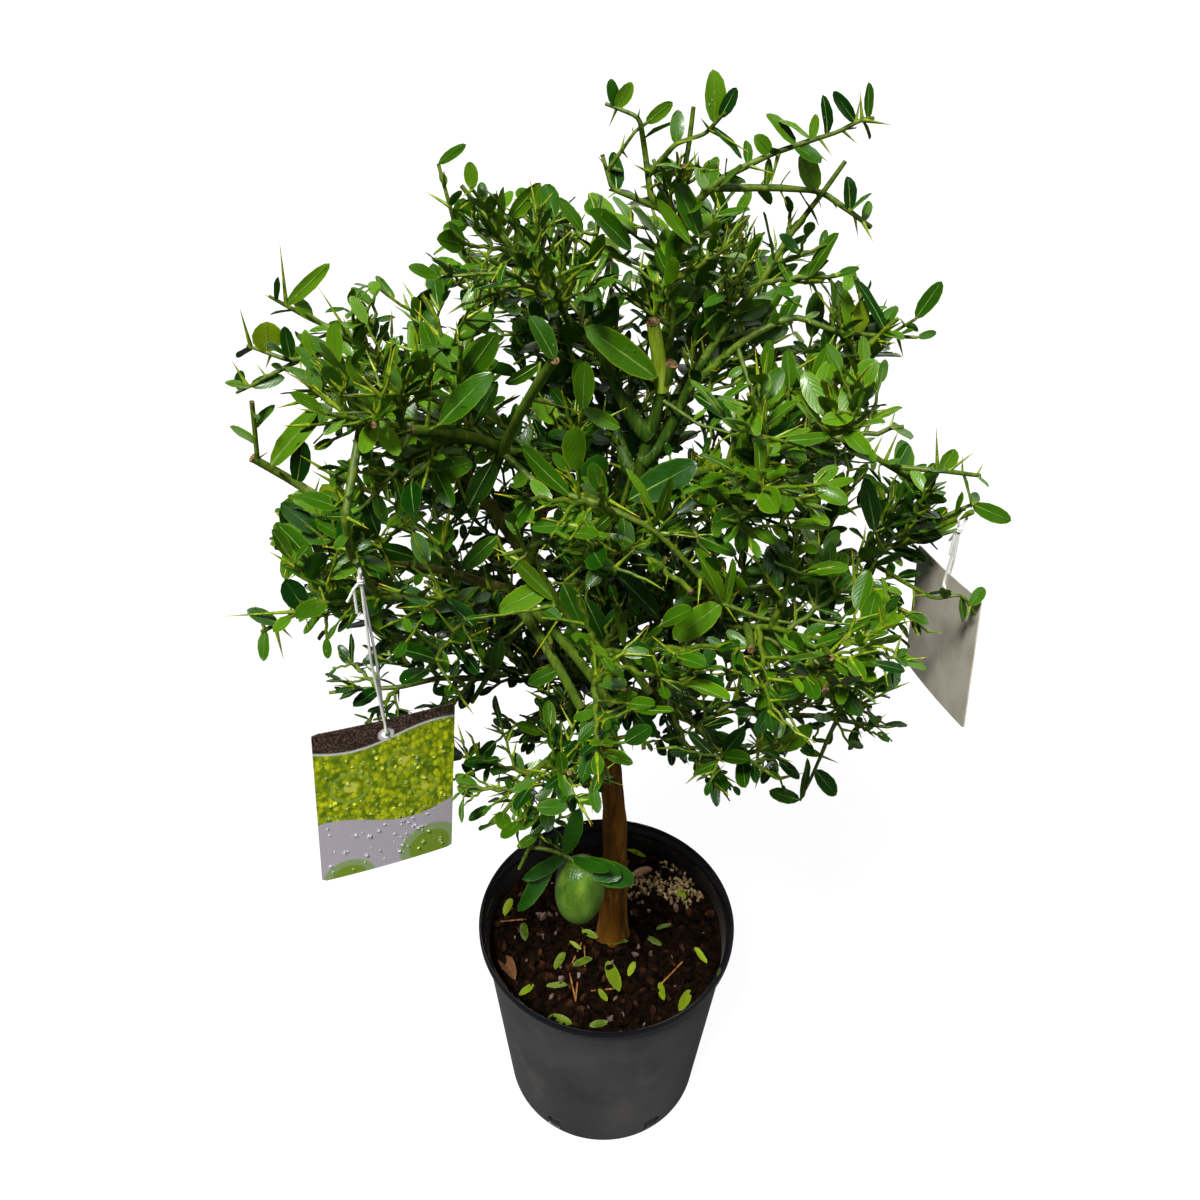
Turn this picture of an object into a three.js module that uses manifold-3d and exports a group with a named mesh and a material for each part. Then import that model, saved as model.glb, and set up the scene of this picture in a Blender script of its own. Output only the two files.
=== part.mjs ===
// A young faustrime tree on one slim stem, standing in a black plastic nursery pot.
// Millimetres, +Z up. The origin is the middle of the pot's flat underside, and -Y is the front.

import * as THREE from "three";
import { mergeVertices } from "three/addons/utils/BufferGeometryUtils.js";
import Module from "manifold-3d";

const wasm = await Module();
wasm.setup();

// Clear gap between neighbouring solids
const GAP = 0.3;

// Pot
const POT_HEIGHT = 195;
const POT_RIM_RADIUS = 100;
const POT_WALL_TOP_RADIUS = 96;
const POT_BASE_RADIUS = 80.4;
const POT_WALL = 1.6;
const POT_FLOOR = 3;
const POT_LIP_HEIGHT = 8;
const POT_SIDES = 28;
const DRAIN_COUNT = 6;
const DRAIN_FIRST_TURN = 64;
const DRAIN_WIDTH = 16;
const DRAIN_HEIGHT = 10;
const DRAIN_DEPTH = 9;

// Potting mix
const SOIL_HEIGHT = 172;
const SOIL_FLAT_RADIUS = 24;
const SOIL_ROUGHNESS = 1.6;
const SOIL_SAG = 3;

// Trunk and the leader that goes on from its fork
const TRUNK_FORK_HEIGHT = 500;
const LEADER_HEIGHT = 645;
const TRUNK_ROOT_RADIUS = 11.3;
const TRUNK_FORK_RADIUS = 5.6;
const LEADER_TIP_RADIUS = 3;
const TRUNK_FLARE = 2;
const TRUNK_FLARE_HEIGHT = 14;
const TRUNK_SIDES = 10;
const TRUNK_STEPS = 14;

// Boughs
const BOUGH_SIDES = 5;
const BOUGH_STEPS = 4;
const BOUGH_FOOT_RADIUS = 3.7;
const BOUGH_TIP_RADIUS = 2.3;
const BOUGH_SHARE = 0.3;

// Twigs
const TWIG_SIDES = 3;
const STEM_FOOT_RADIUS = 2.6;
const STEM_TIP_RADIUS = 1.7;
const STEM_NODE_SPACING = 23;
const STEM_ZIGZAG = 2.4;
const TWIG_FOOT_RADIUS = 1.9;
const TWIG_TIP_RADIUS = 1.4;
const TWIG_FOOT_ANGLE = 62;
const TWIG_TIP_ANGLE = 42;
const TWIG_LIFT = 0.22;
const TWIG_SHORTEST = 9;
const GOLDEN_ANGLE = 137.5;

// Leaves, a little larger than life because they are fewer
const LEAF_LENGTH = 44;
const LEAF_WIDTH = 25;
const LEAF_SINK = 0.8;
const LEAF_THICKNESS = 1.3;
const LEAF_SPACING = 12;
const LEAF_ANGLE = 48;
const LEAF_ANGLE_SPREAD = 14;
const LEAF_OUTWARD_FACING = 0.45;
const LEAF_TRIES = [
  { turned: 0, size: 1 },
  { turned: 0.45, size: 0.95 },
  { turned: -0.45, size: 0.95 },
  { turned: 0, size: 0.72 },
];

// Room round each spray
const SPACE_MARGIN = 0.02;
const TIP_SLACK = 2;
const ROOM_STEP = 2;
const LEAF_ROOM = 0.62 * LEAF_LENGTH;
const STEM_TIP_LEAF = 0.8 * LEAF_LENGTH;

// Fruit: an upright oval on a short stalk under the drooping spray
const FRUIT_RADIUS = 19;
const FRUIT_LENGTH = 58;
const FRUIT_PLACE = [-20, -75, 326];
const FRUIT_STALK_RADIUS = 1.7;
const FRUIT_STALK_SINK = 3;

// Hang tags: each hangs by its string from a stub twig on one of the sprays
const TAG_THICKNESS = 0.8;
const TAG_CORNER = 5;
const TAG_EYE_RADIUS = 2.6;
const TAG_EYE_DROP = 10;
const STRING_RADIUS = 0.8;
const STRING_SIDES = 6;
const STUB_SIDES = 6;
const STUB_INWARD = 0.78;
const STUB_PAST = 6;
const TAGS = [
  {
    side: "left", carrier: "middle_front_left", color: 0x9aa83c, width: 79, height: 115,
    place: [-128.5, -107.8, 449.3], yaw: 26, roll: 5, hangsFrom: [-125, -110, 607.1],
  },
  {
    side: "right", carrier: "middle_right", color: 0xc9c8c4, width: 83, height: 80,
    place: [190, -30, 512], yaw: -81, roll: -13, hangsFrom: [188, -25, 588.1],
  },
];

// Each tier's boughs leave the trunk or the leader one above the other and arch outwards,
// and each carries one spray. Turn runs from +X towards the back. Reach and height
// place the spray's furthest leaf tip.
const TIERS = {
  lower: {
    from: 416, step: 5.2, order: 3, rise: 0.5, arch: 12, halfWidth: 54,
    sprays: [
      { side: "right", turn: 350, reach: 192, height: 436 },
      { side: "back_right", turn: 38, reach: 180, height: 425 },
      { side: "back", turn: 92, reach: 170, height: 425 },
      { side: "back_left", turn: 142, reach: 178, height: 425 },
      { side: "left", turn: 190, reach: 196, height: 456 },
      { side: "front_left", turn: 240, reach: 150, height: 436 },
      { side: "front_right", turn: 312, reach: 146, height: 464 },
    ],
  },
  middle: {
    from: 460, step: 4.8, order: 3, rise: 0.9, arch: 16, halfWidth: 58,
    sprays: [
      { side: "right", turn: 357, reach: 210, height: 580 },
      { side: "back_right", turn: 42, reach: 208, height: 560 },
      { side: "back", turn: 90, reach: 200, height: 560 },
      { side: "back_left", turn: 138, reach: 208, height: 560 },
      { side: "left", turn: 183, reach: 214, height: 562 },
      { side: "front_left", turn: 217, reach: 206, height: 598 },
      { side: "front", turn: 266, reach: 182, height: 596 },
      { side: "front_right", turn: 314, reach: 190, height: 588 },
    ],
  },
  upper: {
    from: 518, step: 12, order: 3, rise: 0.9, arch: 14, halfWidth: 56,
    sprays: [
      { side: "right", turn: 2, reach: 152, height: 704 },
      { side: "back_right", turn: 60, reach: 165, height: 690 },
      { side: "back_left", turn: 120, reach: 170, height: 690 },
      { side: "left", turn: 178, reach: 178, height: 698 },
      { side: "front_left", turn: 214, reach: 178, height: 690 },
      { side: "front", turn: 266, reach: 160, height: 690 },
      { side: "front_right", turn: 318, reach: 154, height: 692 },
    ],
  },
  crown: {
    from: 606, step: 16, order: 1, rise: 0.9, arch: 8, halfWidth: 52,
    sprays: [
      { side: "right", turn: 9, reach: 114, height: 780 },
      { side: "left", turn: 174, reach: 92, height: 766 },
    ],
  },
};
const CROWN_TOP = { tip: [30, 16, 806], halfWidth: 52 };
const FRUITING = { from: 452, rise: 0.9, foot: [-14, -42, 446], tip: [-66, -76, 326], halfWidth: 34 };

const BLACK_PLASTIC = 0x1d1f22;
const DARK_MIX = 0x33261f;
const BROWN_BARK = 0x7a6248;
const GREEN_BARK = 0x5d6b33;
const LEAF_GREEN = 0x3f7426;
const WHITE_STRING = 0xe6e2d6;

function vector(x, y, z) {
  return new THREE.Vector3(x, y, z);
}

function radians(degrees) {
  return THREE.MathUtils.degToRad(degrees);
}

function moved(point, way, distance) {
  return point.clone().addScaledVector(way, distance);
}

function nearestTo(points, target) {
  return points.reduce((best, point) => (
    point.distanceTo(target) < best.distanceTo(target) ? point : best));
}

function taper(from, to, count) {
  return Array.from({ length: count }, (_, at) => from + ((to - from) * at) / (count - 1));
}

// A repeatable number from 0 to 1 for one draw of one twig of one spray
function chance(spray, twig, draw) {
  const mixed = Math.sin(spray * 12.9898 + twig * 78.233 + draw * 37.719) * 43758.5453;
  return mixed - Math.floor(mixed);
}

function solidOf(geometry) {
  const bare = geometry.clone();
  bare.deleteAttribute("normal");
  bare.deleteAttribute("uv");
  const merged = mergeVertices(bare, 0.001);
  return new wasm.Manifold(new wasm.Mesh({
    numProp: 3,
    vertProperties: new Float32Array(merged.attributes.position.array),
    triVerts: new Uint32Array(merged.index.array),
  }));
}

function geometryOf(solid) {
  const mesh = solid.getMesh();
  const geometry = new THREE.BufferGeometry();
  geometry.setAttribute("position", new THREE.BufferAttribute(mesh.vertProperties, 3));
  geometry.setIndex(new THREE.BufferAttribute(mesh.triVerts, 1));
  geometry.computeVertexNormals();
  return geometry;
}

function facetedSolid(corners, faces) {
  const geometry = new THREE.BufferGeometry();
  const places = corners.flatMap((corner) => [corner.x, corner.y, corner.z]);
  geometry.setAttribute("position", new THREE.Float32BufferAttribute(places, 3));
  geometry.setIndex(faces);
  return solidOf(geometry);
}

// The outer skin of the biggest body: loose scraps go, and sealed hollows are filled
function largestBody(solid) {
  return solid.decompose().reduce((best, body) => (body.volume() > best.volume() ? body : best));
}

function boxesMeet(a, b) {
  return [0, 1, 2].every((axis) => a.min[axis] < b.max[axis] && b.min[axis] < a.max[axis]);
}

function solidsMeet(a, b) {
  return boxesMeet(a.boundingBox(), b.boundingBox()) && !a.intersect(b).isEmpty();
}

function named(name, geometry, color, roughness) {
  const material = new THREE.MeshStandardMaterial({ color, roughness, metalness: 0 });
  const mesh = new THREE.Mesh(geometry, material);
  mesh.name = name;
  return mesh;
}

// A tapering limb: one ring of corners at each point, square to the way, with flat ends
function limbSolid(points, radii, sides) {
  const corners = [];
  const faces = [];
  const last = points.length - 1;
  const heading = points[1].clone().sub(points[0]).normalize();
  const across = Math.abs(heading.z) > 0.8 ? vector(1, 0, 0) : vector(0, 0, 1);
  points.forEach((point, ring) => {
    const along = points[Math.min(ring + 1, last)].clone();
    along.sub(points[Math.max(ring - 1, 0)]).normalize();
    across.addScaledVector(along, -across.dot(along)).normalize();
    const over = vector(0, 0, 0).crossVectors(along, across);
    for (let side = 0; side < sides; side += 1) {
      const turn = (2 * Math.PI * side) / sides;
      const corner = moved(point, across, radii[ring] * Math.cos(turn));
      corners.push(corner.addScaledVector(over, radii[ring] * Math.sin(turn)));
    }
  });
  for (let ring = 0; ring < last; ring += 1) {
    for (let side = 0; side < sides; side += 1) {
      const here = ring * sides + side;
      const next = ring * sides + ((side + 1) % sides);
      faces.push(here, next, next + sides, here, next + sides, here + sides);
    }
  }
  const top = last * sides;
  for (let side = 1; side < sides - 1; side += 1) {
    faces.push(0, side + 1, side, top, top + side, top + side + 1);
  }
  return facetedSolid(corners, faces);
}

// Pot: a thin tapered bucket with a stepped lip, and notches cut through its foot
function potInnerRadius(height) {
  const share = height / (POT_HEIGHT - POT_LIP_HEIGHT);
  return POT_BASE_RADIUS + (POT_WALL_TOP_RADIUS - POT_BASE_RADIUS) * share - POT_WALL;
}

function turnedSolid(profile) {
  const points = profile.map(([radius, height]) => new THREE.Vector2(radius, height));
  return new THREE.LatheGeometry(points, POT_SIDES).rotateX(Math.PI / 2);
}

function potSolid() {
  const underLip = POT_HEIGHT - POT_LIP_HEIGHT;
  let pot = solidOf(turnedSolid([
    [0, 0],
    [POT_BASE_RADIUS, 0],
    [POT_WALL_TOP_RADIUS, underLip],
    [POT_RIM_RADIUS, underLip],
    [POT_RIM_RADIUS, POT_HEIGHT],
    [POT_RIM_RADIUS - POT_WALL, POT_HEIGHT],
    [POT_RIM_RADIUS - POT_WALL, underLip + 2 * POT_WALL],
    [potInnerRadius(underLip), underLip - POT_WALL],
    [potInnerRadius(POT_FLOOR), POT_FLOOR],
    [0, POT_FLOOR],
  ]));
  for (let notch = 0; notch < DRAIN_COUNT; notch += 1) {
    const cut = new THREE.BoxGeometry(DRAIN_DEPTH * 2, DRAIN_WIDTH, DRAIN_HEIGHT * 2);
    cut.translate(POT_BASE_RADIUS, 0, 0);
    cut.rotateZ(radians(DRAIN_FIRST_TURN + (360 * notch) / DRAIN_COUNT));
    pot = pot.subtract(solidOf(cut));
  }
  return pot;
}

// Potting mix: fills the pot, flat round the trunk, lower and uneven towards the wall
function soilDrop(x, y) {
  const away = Math.max(Math.hypot(x, y) - SOIL_FLAT_RADIUS, 0) / POT_BASE_RADIUS;
  const waves = Math.sin(x * 0.11 + 1) * Math.cos(y * 0.09) + Math.sin((x + y) * 0.06);
  return Math.max(SOIL_SAG * away - SOIL_ROUGHNESS * waves * Math.min(away * 4, 1), 0);
}

function soilSolid() {
  const foot = POT_FLOOR + GAP;
  const profile = [[0, foot], [potInnerRadius(foot) - GAP, foot]];
  for (const share of [1, 0.78, 0.5, 0.27, 0]) {
    profile.push([(potInnerRadius(SOIL_HEIGHT) - GAP) * share, SOIL_HEIGHT]);
  }
  const turned = turnedSolid(profile);
  const place = turned.attributes.position;
  for (let at = 0; at < place.count; at += 1) {
    if (place.getZ(at) > foot + 1) {
      const [x, y] = [place.getX(at), place.getY(at)];
      const height = SOIL_HEIGHT - soilDrop(x, y);
      const inside = Math.min((potInnerRadius(height) - GAP) / Math.max(Math.hypot(x, y), 1), 1);
      place.setXYZ(at, x * inside, y * inside, height);
    }
  }
  return solidOf(turned);
}

// Trunk and leader share one leaning centre line
const centreLine = new THREE.CatmullRomCurve3([
  vector(5, 2, SOIL_HEIGHT - 3),
  vector(4, 1, 300),
  vector(-5, 0, 426),
  vector(-3, 0, TRUNK_FORK_HEIGHT),
  vector(6, 1, 570),
  vector(20, 2, LEADER_HEIGHT),
]);

function centreAt(height) {
  let low = 0;
  let high = 1;
  while (high - low > 1e-4) {
    const half = (low + high) / 2;
    if (centreLine.getPoint(half).z < height) {
      low = half;
    } else {
      high = half;
    }
  }
  return centreLine.getPoint(low);
}

function centreRadius(height) {
  if (height > TRUNK_FORK_HEIGHT) {
    const share = (height - TRUNK_FORK_HEIGHT) / (LEADER_HEIGHT - TRUNK_FORK_HEIGHT);
    return TRUNK_FORK_RADIUS + (LEADER_TIP_RADIUS - TRUNK_FORK_RADIUS) * share;
  }
  const share = Math.max(height - SOIL_HEIGHT, 0) / (TRUNK_FORK_HEIGHT - SOIL_HEIGHT);
  const flare = TRUNK_FLARE * Math.exp(-(height - SOIL_HEIGHT) / TRUNK_FLARE_HEIGHT);
  return TRUNK_ROOT_RADIUS + (TRUNK_FORK_RADIUS - TRUNK_ROOT_RADIUS) * share ** 0.8 + flare;
}

// Rings bunch at the foot, where the root flare needs them
function centreSolid(grow) {
  const from = SOIL_HEIGHT - 3;
  const points = [];
  const radii = [];
  for (let step = 0; step <= TRUNK_STEPS; step += 1) {
    const height = from + (LEADER_HEIGHT - from) * (step / TRUNK_STEPS) ** 1.4;
    points.push(centreAt(height));
    radii.push(centreRadius(height) + grow);
  }
  const last = points.length - 1;
  const heading = points[last].clone().sub(points[last - 1]).normalize();
  points[last].addScaledVector(heading, grow);
  return limbSolid(points, radii, TRUNK_SIDES);
}

function sliceBetween(solid, from, to) {
  const slab = new THREE.BoxGeometry(POT_RIM_RADIUS, POT_RIM_RADIUS, to - from);
  slab.translate(0, 0, (from + to) / 2);
  return solid.intersect(solidOf(slab));
}

// Plan every bough and spray before any is grown, so that each knows its neighbours
function planSprays() {
  const plans = [];
  for (const [tierName, tier] of Object.entries(TIERS)) {
    tier.sprays.forEach((spray, place) => {
      const rank = (place * tier.order) % tier.sprays.length;
      const start = centreAt(tier.from + rank * tier.step);
      const turn = radians(spray.turn);
      const tip = vector(spray.reach * Math.cos(turn), spray.reach * Math.sin(turn), spray.height);
      const foot = start.clone().lerp(tip, BOUGH_SHARE);
      foot.z += tier.arch;
      plans.push({
        name: `${tierName}_${spray.side}`, start, foot, tip,
        rise: tier.rise, halfWidth: tier.halfWidth, lift: TWIG_LIFT,
      });
    });
  }
  plans.push({
    name: "crown_top", start: null, foot: centreAt(LEADER_HEIGHT), tip: vector(...CROWN_TOP.tip),
    halfWidth: CROWN_TOP.halfWidth, lift: 0,
  });
  plans.push({
    name: "fruiting", start: centreAt(FRUITING.from), foot: vector(...FRUITING.foot),
    tip: vector(...FRUITING.tip), rise: FRUITING.rise, halfWidth: FRUITING.halfWidth, lift: 0,
  });
  plans.forEach(planStem);
  return plans;
}

// The stem zigzags from node to node and stops short of the tip, which its last leaf reaches
function planStem(plan, index) {
  const way = plan.tip.clone().sub(plan.foot);
  const length = way.length() - STEM_TIP_LEAF;
  const nodes = Math.max(Math.round(length / STEM_NODE_SPACING), 3);
  plan.index = index;
  plan.along = way.normalize();
  plan.across = moved(vector(0, 0, 1), plan.along, -plan.along.z).normalize();
  plan.over = vector(0, 0, 0).crossVectors(plan.along, plan.across);
  plan.stem = [];
  for (let node = 0; node <= nodes; node += 1) {
    const point = moved(plan.foot, plan.along, (length * node) / nodes);
    if (node > 0 && node < nodes) {
      point.addScaledVector(plan.over, STEM_ZIGZAG * (node % 2 === 0 ? 1 : -1));
    }
    plan.stem.push(point);
  }
}

// A bough arches out of the middle of its parent limb and ends square to the stem it carries
function boughSolid(plan, grow) {
  const heading = plan.stem[1].clone().sub(plan.stem[0]).normalize();
  const end = moved(plan.foot, heading, grow > 0 ? 0 : -GAP);
  const length = plan.start.distanceTo(end);
  const outward = end.clone().sub(plan.start).setZ(0).normalize().setZ(plan.rise).normalize();
  const points = new THREE.CubicBezierCurve3(
    plan.start,
    moved(plan.start, outward, length * 0.4),
    moved(end, heading, -length * 0.35),
    end,
  ).getPoints(BOUGH_STEPS);
  points[BOUGH_STEPS - 1] = moved(end, heading, -length / BOUGH_STEPS);
  const radii = taper(BOUGH_FOOT_RADIUS + grow, BOUGH_TIP_RADIUS + grow, points.length);
  return limbSolid(points, radii, BOUGH_SIDES);
}

// A spray's space: what lies nearer to its own axis than to any other for its width,
// no further out than its half width and no further on than its tip
function axisDistance(plan, point) {
  const axis = new THREE.Line3(plan.foot, plan.tip);
  const nearest = axis.closestPointToPoint(point, true, vector(0, 0, 0));
  return nearest.distanceTo(point) / plan.halfWidth;
}

function isInSpace(plan, point) {
  const own = axisDistance(plan, point);
  if (own > 1 || plan.along.dot(point) > plan.along.dot(plan.tip) + TIP_SLACK) {
    return false;
  }
  return plans.every((other) => other === plan || axisDistance(other, point) > own + SPACE_MARGIN);
}

function roomAhead(plan, point, heading) {
  let room = 0;
  while (isInSpace(plan, moved(point, heading, room + ROOM_STEP))) {
    room += ROOM_STEP;
  }
  return room;
}

// The spray is a spindle, narrower at its foot and slimmest at its tip
function spindleRadius(plan, share) {
  return plan.halfWidth * Math.sin(Math.PI * (0.16 + 0.76 * share)) ** 0.6;
}

// A leaf is six corners round a flat underside with a low ridge above: ten faces
function leafCorners(root, along, up, size) {
  const side = vector(0, 0, 0).crossVectors(up, along);
  const at = (forward, sideways, rise) => moved(root, along, LEAF_LENGTH * size * forward - LEAF_SINK)
    .addScaledVector(side, LEAF_WIDTH * size * sideways)
    .addScaledVector(up, rise);
  return [
    at(0, 0, 0),
    at(0.32, -0.4, 0),
    at(0.7, -0.46, 0),
    at(1, 0, 0),
    at(0.7, 0.46, 0),
    at(0.32, 0.4, 0),
    at(0.3, 0, LEAF_THICKNESS),
  ];
}

function leafSolid(corners) {
  const ridge = corners.length - 1;
  const faces = [0, 5, 1, 1, 5, 4, 1, 4, 2, 2, 4, 3];
  for (let corner = 0; corner < ridge; corner += 1) {
    faces.push(corner, (corner + 1) % ridge, ridge);
  }
  return facetedSolid(corners, faces);
}

// Leaves face the light: up, and outwards from the middle of the crown
function leafFacing(root, along) {
  const up = vector(root.x, root.y, 0).setLength(LEAF_OUTWARD_FACING).setZ(1);
  return up.addScaledVector(along, -up.dot(along)).normalize();
}

// Side twigs leave the stem's nodes by the golden angle. Each ends in a leaf and carries
// more on alternate sides, and the stem has a leaf opposite each twig.
function growSpray(plan, isClear) {
  const { stem, along, across, over, index } = plan;
  const last = stem.length - 1;
  const twigs = [limbSolid(stem, taper(STEM_FOOT_RADIUS, STEM_TIP_RADIUS, stem.length), TWIG_SIDES)];
  const leaves = [];

  // A leaf without room is turned up, then down, then made smaller, and then skipped
  function addLeaf(root, way) {
    for (const { turned, size } of LEAF_TRIES) {
      const heading = moved(way, vector(0, 0, 1), turned).normalize();
      const corners = leafCorners(root, heading, leafFacing(root, heading), size);
      if (!corners.every((corner) => isInSpace(plan, corner))) {
        continue;
      }
      const leaf = leafSolid(corners);
      if (isClear(leaf) && !leaves.some((other) => solidsMeet(leaf, other))) {
        leaves.push(leaf);
        return;
      }
    }
  }

  function addTwig(foot, heading, sideways, length, node) {
    const end = moved(foot, heading, length);
    const twig = limbSolid([foot, end], [TWIG_FOOT_RADIUS, TWIG_TIP_RADIUS], TWIG_SIDES);
    if (!isClear(twig)) {
      return;
    }
    twigs.push(twig);
    addLeaf(end, heading);
    const flat = vector(0, 0, 0).crossVectors(heading, sideways).normalize();
    const count = Math.max(Math.floor(length / LEAF_SPACING), 1);
    for (let leaf = 0; leaf < count; leaf += 1) {
      const flip = (leaf + node) % 2 === 0 ? 1 : -1;
      const angle = radians(LEAF_ANGLE + LEAF_ANGLE_SPREAD * chance(index, node, 10 + leaf));
      const way = heading.clone().multiplyScalar(Math.cos(angle));
      way.addScaledVector(flat, flip * Math.sin(angle));
      way.addScaledVector(sideways, 0.5 * (chance(index, node, 20 + leaf) - 0.5));
      addLeaf(foot.clone().lerp(end, (leaf + 0.6) / count), way.normalize());
    }
  }

  addLeaf(stem[last], along);
  for (let node = 1; node <= last; node += 1) {
    const share = node / last;
    const turn = radians(node * GOLDEN_ANGLE + 360 * chance(index, 0, 0));
    const angle = radians(TWIG_FOOT_ANGLE + (TWIG_TIP_ANGLE - TWIG_FOOT_ANGLE) * share);
    const sideways = across.clone().multiplyScalar(Math.cos(turn));
    sideways.addScaledVector(over, Math.sin(turn));
    const heading = along.clone().multiplyScalar(Math.cos(angle));
    heading.addScaledVector(sideways, Math.sin(angle));
    heading.z += plan.lift;
    heading.normalize();
    addLeaf(stem[node - 1].clone().lerp(stem[node], 0.6), moved(along, sideways, -1).normalize());
    const wanted = spindleRadius(plan, share) / Math.sin(angle);
    const room = Math.min(wanted, roomAhead(plan, stem[node], heading)) - LEAF_ROOM;
    const length = room * (0.85 + 0.25 * chance(index, node, 1));
    if (length < TWIG_SHORTEST) {
      addLeaf(stem[node], heading);
    } else {
      addTwig(stem[node], heading, sideways, length, node);
    }
  }
  return { twigs, leaves };
}

function fruitSolid() {
  const oval = new THREE.SphereGeometry(1, 12, 8).rotateX(Math.PI / 2);
  oval.scale(FRUIT_RADIUS, FRUIT_RADIUS, FRUIT_LENGTH / 2);
  return solidOf(oval.translate(...FRUIT_PLACE));
}

function fruitStalk(plan) {
  const top = moved(vector(...FRUIT_PLACE), vector(0, 0, 1), FRUIT_LENGTH / 2 - FRUIT_STALK_SINK);
  const radii = [FRUIT_STALK_RADIUS, FRUIT_STALK_RADIUS];
  return limbSolid([nearestTo(plan.stem, top), top], radii, 4);
}

// Tags: a thin card with round corners and an eye near its top
function tagGeometry(tag) {
  const shape = new THREE.Shape();
  const halfHeight = tag.height / 2;
  const inX = tag.width / 2 - TAG_CORNER;
  const inY = halfHeight - TAG_CORNER;
  shape.absarc(inX, -inY, TAG_CORNER, -Math.PI / 2, 0);
  shape.absarc(inX, inY, TAG_CORNER, 0, Math.PI / 2);
  shape.absarc(-inX, inY, TAG_CORNER, Math.PI / 2, Math.PI);
  shape.absarc(-inX, -inY, TAG_CORNER, Math.PI, Math.PI * 1.5);
  const eye = new THREE.Path();
  eye.absarc(0, halfHeight - TAG_EYE_DROP, TAG_EYE_RADIUS, 0, Math.PI * 2);
  shape.holes.push(eye);
  const card = new THREE.ExtrudeGeometry(shape, {
    depth: TAG_THICKNESS, bevelEnabled: false, curveSegments: 2,
  });
  return geometryOf(solidOf(card.translate(0, 0, -TAG_THICKNESS / 2).rotateX(Math.PI / 2)));
}

function tagMesh(tag) {
  const mesh = named(`tag_${tag.side}`, tagGeometry(tag), tag.color, 0.4);
  mesh.position.set(...tag.place);
  mesh.rotation.set(0, radians(tag.roll), radians(tag.yaw), "ZYX");
  mesh.updateMatrixWorld(true);
  return mesh;
}

// The string leaves the front of the eye and ends just under its stub twig
function stringSolid(tag, card) {
  const front = TAG_THICKNESS / 2 + STRING_RADIUS + GAP;
  const eye = card.localToWorld(vector(0, -front, tag.height / 2 - TAG_EYE_DROP));
  return limbSolid([eye, vector(...tag.hangsFrom)], [STRING_RADIUS, STRING_RADIUS], STRING_SIDES);
}

// The stub passes over the string's end, a gap clear of it however steeply the stub rises
function stubTwig(plan, tag) {
  const top = vector(...tag.hangsFrom);
  const inward = vector(top.x * STUB_INWARD, top.y * STUB_INWARD, top.z);
  const nearest = nearestTo(plan.stem, inward);
  const way = top.clone().sub(nearest).normalize();
  const level = Math.hypot(way.x, way.y);
  const above = (TWIG_TIP_RADIUS + GAP + STRING_RADIUS * Math.abs(way.z)) / level + GAP;
  const hook = moved(top, vector(0, 0, 1), above);
  const end = moved(hook, hook.clone().sub(nearest).normalize(), STUB_PAST);
  return limbSolid([nearest, end], [TWIG_FOOT_RADIUS, TWIG_TIP_RADIUS], STUB_SIDES);
}

const plans = planSprays();
const tree = new THREE.Group();
const centre = centreSolid(0);
const centreCutter = centreSolid(GAP);
const guards = [centreSolid(GAP * 2)];

// Pot, potting mix, trunk and leader
const trunk = sliceBetween(centre, SOIL_HEIGHT + GAP, TRUNK_FORK_HEIGHT);
const leader = sliceBetween(centre, TRUNK_FORK_HEIGHT + GAP, LEADER_HEIGHT + TRUNK_FORK_RADIUS);
tree.add(named("pot", geometryOf(potSolid()), BLACK_PLASTIC, 0.5));
tree.add(named("potting_mix", geometryOf(soilSolid()), DARK_MIX, 0.95));
tree.add(named("trunk", geometryOf(trunk), BROWN_BARK, 0.85));
tree.add(named("leader", geometryOf(leader), GREEN_BARK, 0.75));

// Boughs, each cut clear of the trunk and the leader
for (const plan of plans.filter((candidate) => candidate.start !== null)) {
  const bough = largestBody(boughSolid(plan, 0).subtract(centreCutter));
  tree.add(named(`bough_${plan.name}`, geometryOf(bough), GREEN_BARK, 0.75));
  guards.push(boughSolid(plan, GAP * 2));
}

// Tags and their strings
for (const tag of TAGS) {
  const card = tagMesh(tag);
  const string = stringSolid(tag, card);
  tree.add(card);
  tree.add(named(`tag_string_${tag.side}`, geometryOf(string), WHITE_STRING, 0.9));
  guards.push(solidOf(card.geometry.clone().applyMatrix4(card.matrixWorld)), string);
}

// Foliage: one fused body for each spray, clear of the limbs, the tags and the sprays before it
for (const plan of plans) {
  const extras = TAGS.filter((tag) => tag.carrier === plan.name).map((tag) => stubTwig(plan, tag));
  if (plan.name === "fruiting") {
    guards.push(fruitSolid());
    extras.push(fruitSolid(), fruitStalk(plan));
  }
  const { twigs, leaves } = growSpray(plan, (solid) => !guards.some((guard) => (
    solidsMeet(solid, guard))));
  const fused = wasm.Manifold.union([...twigs, ...leaves, ...extras]).subtract(centreCutter);
  const spray = largestBody(fused);
  guards.push(spray);
  tree.add(named(`foliage_${plan.name}`, geometryOf(spray), LEAF_GREEN, 0.45));
}

export default tree;
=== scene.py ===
import math

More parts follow.
